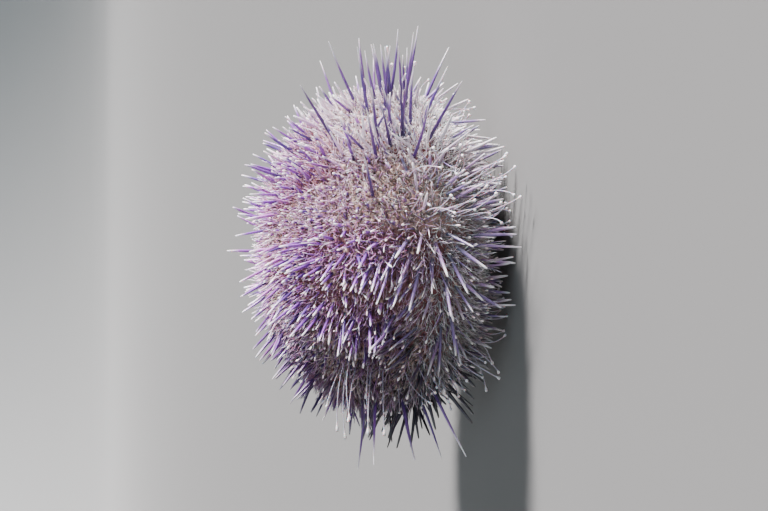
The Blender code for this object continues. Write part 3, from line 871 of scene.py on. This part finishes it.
def primary_places(surface, coat):
    """Where the primary spines and their tubercles stand."""
    draw = np.random.default_rng(PRIMARY_SEED)
    return sparser(surface.places(coat.primary_spacing, draw, jitter=0.13), draw, PRIMARY_FEWEST)


class URCHIN_OT_primary_spines(UrchinPiece, bpy.types.Operator):
    """Primary spines: ringed at the root, violet with pale tips, fluted along the shaft"""

    bl_idname = "urchin.primary_spines"
    bl_label = "Primary Spines"

    profile = (
        (0, 0), (0.90, 0.0), (1.05, 0.04), (1.50, 0.065), (1.08, 0.09), (1.04, 0.35),
        (0.88, 0.65), (0.64, 0.90), (0.42, 0.985), (0, 1),
    )

    def execute(self, context):
        test, coat, colours, surface = self.read(context)
        shape = Shape(self.profile, 7)
        places = primary_places(surface, coat)
        inside = np.abs(surface.off_ray(places[1])) < test.ray_width / 2
        material = spine_material(
            "primary spines", colours, strong=colours.violet, low=colours.dusk,
            tip_from=0.70, collar_height=0.10, roughness=0.30,
        )
        growth = Growth(
            length=coat.primary_length, radius=coat.primary_radius, follow=1.0, lean=0.13, bend=0.015,
            seed=21, thin=0.60, thin_ray=0.72, fractions=SPINE_FRACTIONS,
        )
        for name, mask, slot in (
            ("primary_spines_rays", inside, "ambulacral_spines"),
            ("primary_spines_between", ~inside, "violet_spines"),
        ):
            chosen = pick(places, mask)
            grow_spines(name, surface, shape, chosen, growth, coat.parting, material=material, slot=slot)
        return {"FINISHED"}


class URCHIN_OT_tall_spines(UrchinPiece, bpy.types.Operator):
    """The tallest spines: a tuft on the +X side, some of it at random, and fewer on the -X side"""

    bl_idname = "urchin.tall_spines"
    bl_label = "Tall Spines"

    profile = (
        (0, 0), (0.90, 0.0), (1.05, 0.03), (1.35, 0.045), (1.04, 0.06), (0.98, 0.22),
        (0.84, 0.45), (0.64, 0.66), (0.43, 0.85), (0.27, 0.97), (0.14, 0.995), (0, 1),
    )
    lean = 0.08
    disorder = 0.035
    spread = (0.84, 1.08)
    sway = 0.0005
    seed = 15

    # The ones scattered among the rows of the tuft lean towards the apex and are shorter
    scattered = 13
    tuft_shares = (0.44, 0.62)
    tuft_angles = (math.radians(-52), math.radians(-12))
    tuft_lean = 0.20
    tuft_spread = (0.65, 0.95)

    def execute(self, context):
        _, coat, colours, surface = self.read(context)
        draw = np.random.default_rng(self.seed)
        places = [(share, math.radians(degrees)) for degrees, shares in TALL_ROWS for share in shares]
        for _ in range(self.scattered):
            places.append((draw.uniform(*self.tuft_shares), draw.uniform(*self.tuft_angles)))
        shares, angles = np.array(places).T
        points, normals = surface.at(shares, angles)
        outward = np.sign(points[:, 0])[:, None] * np.array([self.lean, 0, 0])
        outward[-self.scattered:, 2] = self.tuft_lean
        directions = unit(normals + outward + draw.normal(0, self.disorder, points.shape))
        lengths = coat.tall_length * draw.uniform(*self.spread, len(shares))
        lengths[-self.scattered:] *= draw.uniform(*self.tuft_spread, self.scattered)
        ends = points + directions * lengths[:, None]
        starts = points - normals * ROOT_SUNK
        middles = (starts + ends) / 2 + draw.normal(0, self.sway, points.shape)
        marks = {
            "violet": draw.uniform(0.8, 1.0, len(shares)),
            "tone": draw.uniform(0, 1, len(shares)),
            "share": np.zeros(len(shares)),
            "flank": np.ones(len(shares)),
        }
        radii = coat.tall_radius * draw.uniform(0.9, 1.1, len(shares))
        material = spine_material(
            "tall spines", colours, strong=colours.indigo, low=colours.dusk,
            tip_from=0.64, collar_height=0.05, roughness=0.28,
        )
        repeat(
            "tall_spines", Shape(self.profile, 12), (starts, middles, ends), radii, (shares, angles),
            marks, draw, material=material, slot="violet_spines",
        )
        return {"FINISHED"}


class URCHIN_OT_secondary_spines(UrchinPiece, bpy.types.Operator):
    """Secondary spines: shorter and more slender than the primary ones"""

    bl_idname = "urchin.secondary_spines"
    bl_label = "Secondary Spines"

    profile = ((0, 0), (1.0, 0.0), (1.15, 0.06), (0.95, 0.30), (0.75, 0.65), (0.40, 0.94), (0, 1))
    pieces = 2
    fewest = 0.34
    place_seed = 12

    def execute(self, context):
        _, coat, colours, surface = self.read(context)
        shape = Shape(self.profile, 5)
        draw = np.random.default_rng(self.place_seed)
        places = surface.places(coat.secondary_spacing, draw, jitter=0.28, first=-0.035)
        material = spine_material(
            "secondary spines", colours, strong=colours.violet, low=colours.violet,
            tip_from=0.52, collar_height=0.12, roughness=0.36,
        )
        finish = {"material": material, "slot": "ambulacral_spines"}
        growth = Growth(
            length=coat.secondary_length, radius=coat.secondary_radius, follow=1.0, lean=0.30, bend=0.07,
            seed=31, thin=0.40, thin_ray=0.50, fractions=SPINE_FRACTIONS,
        )
        for belt, chosen in belts(sparser(places, draw, self.fewest), self.pieces):
            name = f"secondary_spines_{belt}"
            grow_spines(name, surface, shape, chosen, growth, coat.parting, **finish)
        return {"FINISHED"}


class URCHIN_OT_fine_spines(UrchinPiece, bpy.types.Operator):
    """Fine spines that cross each other close over the skin, and a down of the smallest"""

    bl_idname = "urchin.fine_spines"
    bl_label = "Fine Spines"

    profile = ((0, 0), (1.0, 0.0), (0.94, 0.38), (0.62, 0.78), (0, 1))
    down_profile = ((0, 0), (1.0, 0.0), (0.85, 0.55), (0, 1))

    def execute(self, context):
        _, coat, colours, surface = self.read(context)
        fine = Growth(
            length=coat.fine_length, radius=coat.fine_radius, follow=0.8, lean=0.62, bend=0.20,
            seed=41, thin=0.30,
        )
        down = Growth(
            length=coat.down_length, radius=coat.down_radius, follow=0.4, lean=0.75, bend=0.14,
            seed=51, thin=0.40,
        )
        for name, profile, spacing, growth, count, gain in (
            ("fine_spines", self.profile, coat.fine_spacing, fine, 3, 0.42),
            ("down_spines", self.down_profile, coat.down_spacing, down, 2, 0.28),
        ):
            shape = Shape(profile, 3)
            draw = np.random.default_rng(growth.seed)
            places = surface.places(spacing, draw, jitter=0.30, first=-0.03)
            material = fuzz_material(name.replace("_", " "), colours, gain)
            finish = {"material": material, "slot": "ambulacral_spines"}
            for belt, chosen in belts(places, count):
                grow_spines(f"{name}_{belt}", surface, shape, chosen, growth, coat.parting, **finish)
        return {"FINISHED"}


class URCHIN_OT_tube_feet(UrchinPiece, bpy.types.Operator):
    """Tube feet: some planted on the floor, some held out, and a bunch that trails"""

    bl_idname = "urchin.tube_feet"
    bl_label = "Tube Feet"

    profile = (
        (0, 0), (1.15, 0.0), (1.0, 0.08), (0.92, 0.22), (0.88, 0.38), (0.86, 0.54), (0.86, 0.70),
        (0.90, 0.84), (1.00, 0.925), (1.80, 0.945), (2.60, 0.965), (2.70, 0.985), (2.0, 1.0),
        (0, 0.998),
    )
    seed = 61
    column = 0.27
    planted_shares = (0.86, 0.89, 0.92, 0.95, 0.98)
    stride = (-0.002, 0.003)
    scatter = 0.0014
    arch = (0.002, 0.005)
    held_shares = (0.54, 0.58, 0.60, 0.62, 0.64, 0.66, 0.68, 0.70, 0.72, 0.74, 0.76, 0.78)
    held_reach = (0.008, 0.011)
    front = -0.025
    front_reach = 0.008
    wander = 0.0035
    lowest = (0.002, 0.010)
    trailing = 8
    trailing_share = 0.43
    trailing_share_spread = (-0.05, 0.07)
    trailing_angle = math.radians(-137)
    trailing_angle_spread = (-0.07, 0.07)
    trailing_pull = (-0.88, -0.06, -0.08)
    trailing_reach = (0.006, 0.017)
    trailing_disorder = 0.14
    trailing_lift = 0.004
    knee = 0.010

    def execute(self, context):
        test, coat, colours, surface = self.read(context)
        draw = np.random.default_rng(self.seed)
        roots, paths = zip(*self.feet(surface, test, draw))
        path = np.array(paths).transpose(1, 0, 2)
        marks = {
            "tone": draw.uniform(0, 1, len(paths)),
            "flank": np.interp(path[0][:, 0], *FLANKS),
        }
        radii = coat.foot_radius * draw.uniform(0.85, 1.15, len(paths))
        finish = {"material": self.material(colours), "slot": "ambulacral_spines"}
        repeat(
            "tube_feet", Shape(self.profile, 10), path, radii, np.array(roots).T, marks, draw, **finish
        )
        return {"FINISHED"}

    def feet(self, surface, test, draw):
        """The root, as a share and an angle, and the path of each foot."""
        for ray in range(RAYS):
            for side in (-1, 1):
                angle = test.first_ray + ray * INTERVAL + side * test.ray_width * self.column
                for bend, shares in ((self.planted, self.planted_shares), (self.held, self.held_shares)):
                    for share in shares:
                        yield (share, angle), bend(*point_on(surface, share, angle), draw)
        for _ in range(self.trailing):
            share = self.trailing_share + draw.uniform(*self.trailing_share_spread)
            angle = self.trailing_angle + draw.uniform(*self.trailing_angle_spread)
            yield (share, angle), self.trailed(*point_on(surface, share, angle), draw)

    def planted(self, point, normal, draw):
        """A foot that arches out and comes straight down on the floor."""
        level = unit(normal * np.array([1, 1, 0]))
        landing = point * np.array([1, 1, 0]) + level * draw.uniform(*self.stride)
        landing += draw.normal(0, self.scatter, 3) * np.array([1, 1, 0])
        above = (point + landing) / 2 + level * draw.uniform(*self.arch)
        landing[2] = FLOOR_TOUCH
        return point - normal * ROOT_SUNK, above, landing

    def held(self, point, normal, draw):
        """A foot held out past the fine spines, the furthest on the -Y side, clear of the floor."""
        reach = draw.uniform(*self.held_reach) + (self.front_reach if point[1] < self.front else 0)
        end = point + normal * reach + draw.normal(0, self.wander, 3)
        end[2] = max(end[2], draw.uniform(*self.lowest))
        return point - normal * ROOT_SUNK, point + normal * reach * 0.6, end

    def trailed(self, point, normal, draw):
        """One of the bunch that trails towards -X past the coat."""
        pull = np.array(self.trailing_pull) + draw.normal(0, self.trailing_disorder, 3)
        reach = draw.uniform(*self.trailing_reach)
        knee = point + normal * self.knee
        return point - normal * ROOT_SUNK, knee, knee + pull * reach + normal * self.trailing_lift

    def material(self, colours):
        """Translucent grey stalks with a lilac cast, darker with painted shade on the -X side, and a
        white disc.
        """
        graph = Graph("tube feet", roughness=0.32, subsurface_weight=0.35, subsurface_scale=0.0008)
        along = graph.mark("along")
        cast = graph.clamp(graph.noise(240.0) - graph.ease(along, 0.2, 0.9) * 0.3)
        colour = graph.blend(cast * 0.35, colours.foot, colours.lilac)
        colour = graph.blend(graph.ease(along, 0.88, 0.95) * 0.9, colour, colours.white)
        # Painted shade on the -X side, away from the key light
        colour = graph.shade(colour, 0.85 - graph.ease(graph.mark("flank"), 0.40, 0.05) * 0.40)
        graph.bump(graph.math("SINE", along * 260.0), 0.25, 0.00005)
        return graph.paint(base_color=colour)


class URCHIN_OT_pedicellariae(UrchinPiece, bpy.types.Operator):
    """Tiny stalked jaws between the spines"""

    bl_idname = "urchin.pedicellariae"
    bl_label = "Pedicellariae"

    profile = (
        (0, 0), (0.62, 0.0), (0.50, 0.30), (0.46, 0.66), (0.60, 0.74), (1.75, 0.82),
        (1.90, 0.90), (1.10, 0.97), (0, 1),
    )
    spacing = 0.0060
    place_seed = 16
    taller = 1.15

    def execute(self, context):
        _, coat, colours, surface = self.read(context)
        shape = Shape(self.profile, 6)
        places = surface.places(self.spacing, np.random.default_rng(self.place_seed), jitter=0.35)
        growth = Growth(
            length=coat.fine_length * self.taller, radius=coat.fine_radius, follow=0.8, lean=0.30,
            bend=0.08, seed=71,
        )
        finish = {"material": self.material(colours), "slot": "ambulacral_spines"}
        grow_spines("pedicellariae", surface, shape, places, growth, coat.parting, **finish)
        return {"FINISHED"}

    def material(self, colours):
        """Grey stalks with white to pink heads."""
        graph = Graph("pedicellariae", roughness=0.35, subsurface_weight=0.2, subsurface_scale=0.0005)
        along, tone = graph.marks("along", "tone")
        head = graph.blend(tone * 0.4, colours.white, colours.rose)
        return graph.paint(base_color=graph.blend(graph.ease(along, 0.68, 0.82), colours.foot, head))


# The plates at the top


def plate(bm, place, outward, radius, rise, sides, pore=0.0):
    """A low bevelled plate standing on a point, with a sunk pore if one is given."""
    turn = outward.to_track_quat("Z", "Y").to_matrix().to_4x4()
    made = bmesh.ops.create_cone(
        bm, cap_ends=True, segments=sides, radius1=radius, radius2=radius * 0.90, depth=rise * 2,
        matrix=Matrix.Translation(place) @ turn,
    )["verts"]
    faces = {face for vertex in made for face in vertex.link_faces}
    top = max(faces, key=lambda face: face.calc_center_median().dot(outward))
    rim = list(top.edges)
    if pore:
        bmesh.ops.inset_region(bm, faces=[top], thickness=radius * 0.9 - pore, use_even_offset=True)
        bmesh.ops.translate(bm, verts=top.verts[:], vec=-outward * rise * 0.8)
    bmesh.ops.bevel(
        bm, geom=rim, offset=rise * 0.5, segments=2, affect="EDGES", profile=0.5, material=-1
    )


def on_dome(surface, radius, angle):
    """A point and normal of the top of the test at a distance from its axis."""
    half = OUTLINE_SAMPLES // 2
    length = np.interp(radius, surface.radii[:half], surface.lengths[:half])
    point, normal = point_on(surface, (length - surface.top_rim) / surface.span, angle)
    return Vector(point), Vector(normal)


def add_plates(name, bm, material, node):
    """Link joined plates with crisp edges in place of a node."""
    piece = add_piece(name, mesh_from(bm, name), material, "reddish_skin")
    piece.data.set_sharp_from_angle(angle=math.radians(40))
    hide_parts(node)


class URCHIN_OT_apical_disc(UrchinPiece, bpy.types.Operator):
    """Five genital plates with their pores, one the sieve plate, and five ocular plates"""

    bl_idname = "urchin.apical_disc"
    bl_label = "Apical Disc"

    rise = 0.0006

    # Intervals from a ray's middle, distance from the axis, radius of the plate and of its pore
    genital = (0.5, 0.0064, 0.0024, 0.00035)
    ocular = (0.0, 0.0078, 0.0012, 0.00018)

    sieve_gain = 1.15
    sunflower = (2, 14)
    grain_radius = 0.00016

    def execute(self, context):
        test, _, colours, surface = self.read(context)
        bm = bmesh.new()
        for ray in range(RAYS):
            for off, radius, size, pore in (self.genital, self.ocular):
                place, normal = on_dome(surface, radius, test.first_ray + (ray + off) * INTERVAL)
                sieve = ray == 0 and off
                plate(bm, place, normal, size * (self.sieve_gain if sieve else 1.0), self.rise, 5, pore)
                if sieve:
                    self.add_sieve(bm, place, normal, size)
        add_plates("apical_plates", bm, self.material(colours), "apical_disc")
        return {"FINISHED"}

    def add_sieve(self, bm, place, normal, size):
        """Grains over the sieve plate, in a sunflower pattern round its pore."""
        side = normal.orthogonal().normalized()
        across = normal.cross(side)
        for step in range(*self.sunflower):
            turn = step * math.pi * (3 - math.sqrt(5))
            out = size * 0.8 * math.sqrt(step / self.sunflower[1])
            spot = place + (side * math.cos(turn) + across * math.sin(turn)) * out + normal * self.rise
            bmesh.ops.create_icosphere(
                bm, subdivisions=1, radius=self.grain_radius, matrix=Matrix.Translation(spot)
            )

    def material(self, colours):
        """Pale red-brown plates with a fine grain."""
        graph = Graph("apical plates", roughness=0.45)
        grain = graph.noise(1400.0)
        colour = graph.blend(graph.noise(300.0), colours.pale_skin, colours.skin)
        graph.bump(grain, 0.5, 0.0001)
        return graph.paint(base_color=graph.shade(colour, grain * 0.5 + 0.7))


class URCHIN_OT_periproct(UrchinPiece, bpy.types.Operator):
    """Scaly membrane at the very top, round the anus"""

    bl_idname = "urchin.periproct"
    bl_label = "Periproct"

    rise = 0.0004
    anus = 0.0007
    middle = 0.00001

    # Distance from the axis, count, radius and turn of each circle of scales
    circles = ((0.0033, 13, 0.00072, 0.3), (0.0019, 9, 0.00060, 0.9))

    def execute(self, context):
        _, _, colours, surface = self.read(context)
        bm = bmesh.new()
        for radius, count, size, shift in self.circles:
            for step in range(count):
                angle = (step + shift) * 2 * math.pi / count
                place, normal = on_dome(surface, radius, angle)
                plate(bm, place + normal * self.rise * (step % 3) * 0.2, normal, size, self.rise, 6)
        place, _ = on_dome(surface, self.middle, 0.0)
        plate(bm, place, UP, self.anus * 1.5, self.rise * 2.2, 10, self.anus)
        add_plates("periproct_scales", bm, self.material(colours), "periproct")
        return {"FINISHED"}

    def material(self, colours):
        """Scales in two browns."""
        graph = Graph("periproct scales", roughness=0.4)
        colour = graph.blend(graph.noise(420.0), colours.skin, colours.pale_skin)
        graph.bump(graph.noise(1800.0), 0.4, 0.0001)
        return graph.paint(base_color=colour)


class URCHIN_OT_peristome(UrchinPiece, bpy.types.Operator):
    """Soft folded skin round the mouth, its lip and ten buccal feet"""

    bl_idname = "urchin.peristome"
    bl_label = "Peristome"

    steps = 150
    folds = 5
    fold_depth = 0.00022
    creases = ((20, 0.0, 0.6), (33, 1.7, 0.4))
    overlap = 0.0002
    sag = 0.0004
    lip = 0.0009
    throat = 0.0026
    foot_circle = 0.0092
    foot_length = 0.0042

    def execute(self, context):
        test, _, colours, surface = self.read(context)
        level = surface.mouth_height
        bm = bmesh.new()
        turn_profile(bm, self.profile(test, level), self.steps, AXIS.xy)
        self.pucker(bm, test, level)
        for ray in range(RAYS):
            for side in (-1, 1):
                self.add_foot(bm, test.first_ray + ray * INTERVAL + side * test.ray_width * 0.45, level)
        mesh = mesh_from(bm, "peristome_skin")
        piece = add_piece("peristome_skin", mesh, self.material(colours), "reddish_skin")
        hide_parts("peristome")
        return {"FINISHED"}

    def profile(self, test, level):
        """Closed section: the hidden top, the rim, the folds that sag to the lip, and the throat."""
        outer = test.peristome_radius + self.overlap
        inner = test.mouth_radius + self.lip
        section = [
            (0, level + self.throat + 0.0003),
            (outer, level + self.throat * 0.4),
            (outer, level + self.overlap),
        ]
        for share in np.linspace(0, 1, 6 * self.folds + 1)[1:]:
            wave = math.sin(share * self.folds * 2 * math.pi) * self.fold_depth
            section.append((outer + (inner - outer) * share, level + wave - self.sag * share))
        for turn in np.linspace(0, math.pi, 9)[1:]:
            radius = test.mouth_radius + self.lip * math.cos(turn) * 0.6
            section.append((radius, level - self.sag - self.lip * math.sin(turn) * 0.8))
        section.append((test.mouth_radius * 0.85, level + self.throat * 0.7))
        section.append((0, level + self.throat * 0.75))
        return section

    def pucker(self, bm, test, level):
        """Radial creases that deepen towards the lip."""
        for vertex in bm.verts:
            off = vertex.co - AXIS
            radius = off.xy.length
            if radius < test.mouth_radius * 0.8 or vertex.co.z > level + self.throat * 0.35:
                continue
            near = 1 - min(1, (radius - test.mouth_radius) / (test.peristome_radius - test.mouth_radius))
            turn = math.atan2(off.y, off.x)
            crease = sum(math.sin(turn * count + phase) * depth for count, phase, depth in self.creases)
            vertex.co.z += crease * self.fold_depth * near

    def add_foot(self, bm, angle, level):
        """A short stout buccal foot with a round disc."""
        place = AXIS + Vector((math.cos(angle), math.sin(angle), 0)) * self.foot_circle
        part = bmesh.new()
        shape = (
            (0, 0.001), (0.0008, 0.001), (0.00062, -0.0010), (0.00058, -0.0026), (0.0007, -0.0032),
            (0.00125, -0.0036), (0.00130, -0.0040), (0.0008, -self.foot_length),
            (0, -self.foot_length + 0.0002),
        )
        turn_profile(part, [(radius, level + height) for radius, height in shape], 14, place.xy)
        mesh = bpy.data.meshes.new("buccal foot")
        part.to_mesh(mesh)
        part.free()
        bm.from_mesh(mesh)
        bpy.data.meshes.remove(mesh)

    def material(self, colours):
        """Soft red-brown skin with pale grains."""
        graph = Graph("peristome skin", roughness=0.42, subsurface_weight=0.15, subsurface_scale=0.001)
        grains = graph.ease(graph.cells(900.0), 0.55, 0.15)
        colour = graph.blend(grains * 0.7, colours.skin, colours.pale_skin)
        graph.bump(grains + graph.noise(600.0), 0.6, 0.0002)
        return graph.paint(base_color=colour)


class URCHIN_OT_teeth(UrchinPiece, bpy.types.Operator):
    """Five keeled teeth that meet in the mouth"""

    bl_idname = "urchin.teeth"
    bl_label = "Teeth"

    # Radius, height over the mouth, half width and depth of each ring
    rings = (
        (0.0034, 0.0022, 0.0013, 0.0011), (0.0031, 0.0002, 0.0013, 0.0010),
        (0.0024, -0.0014, 0.0011, 0.0008), (0.0015, -0.0026, 0.0008, 0.0005),
        (0.0007, -0.0033, 0.0004, 0.0002),
    )
    section = ((-1, -1), (0.4, -1), (1, 0), (0.4, 1), (-1, 1))

    def execute(self, context):
        test, _, colours, surface = self.read(context)
        bm = bmesh.new()
        for ray in range(RAYS):
            self.add_tooth(bm, test.first_ray + (ray + 0.5) * INTERVAL, surface.mouth_height)
        bmesh.ops.recalc_face_normals(bm, faces=bm.faces[:])
        piece = add_piece("mouth_teeth", mesh_from(bm, "mouth_teeth"), self.material(colours), "tooth")
        rounding = piece.modifiers.new("Round", "SUBSURF")
        rounding.levels = 2
        rounding.render_levels = 2
        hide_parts("teeth")
        return {"FINISHED"}

    def add_tooth(self, bm, angle, level):
        """A tooth from its broad root to its point: each ring is extruded from the last."""
        outward = Vector((math.cos(angle), math.sin(angle), 0))
        side = UP.cross(outward)
        face = None
        for radius, height, width, depth in self.rings:
            centre = AXIS + outward * radius
            centre.z = level + height
            places = [
                centre + outward * out * depth + side * across * width for out, across in self.section
            ]
            if face is None:
                face = bm.faces.new([bm.verts.new(place) for place in places])
                continue
            face = bmesh.ops.extrude_discrete_faces(bm, faces=[face])["faces"][0]
            for vertex, place in zip(face.verts, places):
                vertex.co = place

    def material(self, colours):
        """Ivory, worn whiter at the point."""
        graph = Graph("teeth", roughness=0.24, subsurface_weight=0.1, subsurface_scale=0.001)
        streaks = graph.noise(500.0, 2.0)
        colour = graph.blend(streaks * 0.4, colours.tooth, colours.cream)
        graph.bump(streaks, 0.2, 0.0001)
        return graph.paint(base_color=colour)


class URCHIN_OT_stage(UrchinPiece, bpy.types.Operator):
    """Pale floor that sweeps up all round, soft lights and the camera"""

    bl_idname = "urchin.stage"
    bl_label = "Stage and Camera"

    distance = 0.602
    lens = 85.0
    elevation = math.radians(10)
    centre_height = 0.0430
    image_size = (768, 511)
    object_pixel = (368, 250)
    pixels_per_metre = 3010.0
    floor_radius = 6.0
    sweep_radius = 5.0
    floor_fade = (0.5, 6.0)
    lights = (
        ("key", (0.88, -0.04, 0.50), math.radians(13), 29.0, (1.0, 0.96, 0.96)),
        ("fill", (-0.15, -0.95, 0.55), math.radians(60), 3.4, (0.78, 0.92, 1.0)),
    )
    sky_colour = (0.82, 0.93, 1.0, 1)
    sky_strength = 0.04

    def execute(self, context):
        self.make_floor(context.scene.urchin_colours)
        self.make_camera(context)
        self.make_lights(context)
        return {"FINISHED"}

    def make_floor(self, colours):
        """A round floor whose rim sweeps up."""
        bm = bmesh.new()
        profile = [(0.0, 0.0), (self.floor_radius, 0.0)]
        for turn in np.linspace(0, math.pi / 2, 13)[1:]:
            across = self.floor_radius + self.sweep_radius * math.sin(turn)
            profile.append((across, self.sweep_radius * (1 - math.cos(turn))))
        turn_profile(bm, profile, 96)
        floor = bpy.data.objects.new("floor", mesh_from(bm, "floor"))
        bpy.context.scene.collection.objects.link(floor)
        graph = Graph("studio floor", roughness=0.7)
        behind = graph.add("ShaderNodeSeparateXYZ", {}, {0: graph.place()}, 1)
        colour = graph.blend(graph.ease(behind, *self.floor_fade), colours.floor, colours.far_floor)
        floor.data.materials.append(graph.paint(base_color=colour))

    def make_camera(self, context):
        """The photograph's view, turned with the animal: its apex to the left."""
        towards = Vector((0, -math.cos(self.elevation), math.sin(self.elevation)))
        right = Vector((0, -math.sin(self.elevation), -math.cos(self.elevation)))
        up = Vector((1, 0, 0))
        off_right, off_down = (
            (size / 2 - pixel) / self.pixels_per_metre
            for size, pixel in zip(self.image_size, self.object_pixel)
        )
        target = Vector((0, 0, self.centre_height)) + right * off_right - up * off_down
        data = bpy.data.cameras.new("camera")
        data.lens = self.lens
        data.clip_start = 0.01
        camera = bpy.data.objects.new("camera", data)
        context.scene.collection.objects.link(camera)
        turn = Matrix((right, up, towards)).transposed().to_4x4()
        camera.matrix_world = Matrix.Translation(target + towards * self.distance) @ turn
        context.scene.camera = camera

    def make_lights(self, context):
        """A key from the top left of the picture, a broad fill from the front and a faint sky."""
        aim = Vector((0, 0, self.centre_height))
        for name, place, spread, strength, colour in self.lights:
            data = bpy.data.lights.new(name, "SUN")
            data.angle = spread
            data.energy = strength
            data.color = colour
            light = bpy.data.objects.new(name, data)
            light.location = place
            light.rotation_euler = (Vector(place) - aim).to_track_quat("Z", "Y").to_euler()
            context.scene.collection.objects.link(light)
        world = bpy.data.worlds.new("studio")
        world.use_nodes = True
        sky = world.node_tree.nodes["Background"]
        sky.inputs["Color"].default_value = self.sky_colour
        sky.inputs["Strength"].default_value = self.sky_strength
        context.scene.world = world


class URCHIN_PT_panel(bpy.types.Panel):
    """The urchin's pieces and sizes in the sidebar."""

    bl_label = "Sea Urchin"
    bl_idname = "URCHIN_PT_panel"
    bl_space_type = "VIEW_3D"
    bl_region_type = "UI"
    bl_category = "Sea Urchin"

    def draw(self, context):
        for group in GROUPS:
            settings = getattr(context.scene, group)
            box = self.layout.box()
            for name in type(settings).__annotations__:
                box.prop(settings, name)
        for operator in OPERATORS:
            self.layout.operator(operator.bl_idname)


OPERATORS = (
    URCHIN_OT_skin,
    URCHIN_OT_tubercles,
    URCHIN_OT_primary_spines,
    URCHIN_OT_tall_spines,
    URCHIN_OT_secondary_spines,
    URCHIN_OT_fine_spines,
    URCHIN_OT_tube_feet,
    URCHIN_OT_pedicellariae,
    URCHIN_OT_apical_disc,
    URCHIN_OT_periproct,
    URCHIN_OT_peristome,
    URCHIN_OT_teeth,
    URCHIN_OT_stage,
)
GROUPS = {"urchin_test": UrchinTest, "urchin_coat": UrchinCoat, "urchin_colours": UrchinColours}


def register():
    """Register the settings, the operators and the panel."""
    for name, group in GROUPS.items():
        bpy.utils.register_class(group)
        setattr(bpy.types.Scene, name, bpy.props.PointerProperty(type=group))
    for item in (*OPERATORS, URCHIN_PT_panel):
        bpy.utils.register_class(item)


def unregister():
    """Remove the panel, the operators and the settings."""
    for item in (URCHIN_PT_panel, *reversed(OPERATORS)):
        bpy.utils.unregister_class(item)
    for name, group in GROUPS.items():
        delattr(bpy.types.Scene, name)
        bpy.utils.unregister_class(group)


def main():
    """Build every piece in order."""
    register()
    for operator in OPERATORS:
        group, name = operator.bl_idname.split(".")
        getattr(getattr(bpy.ops, group), name)()


if __name__ == "__main__":
    main()
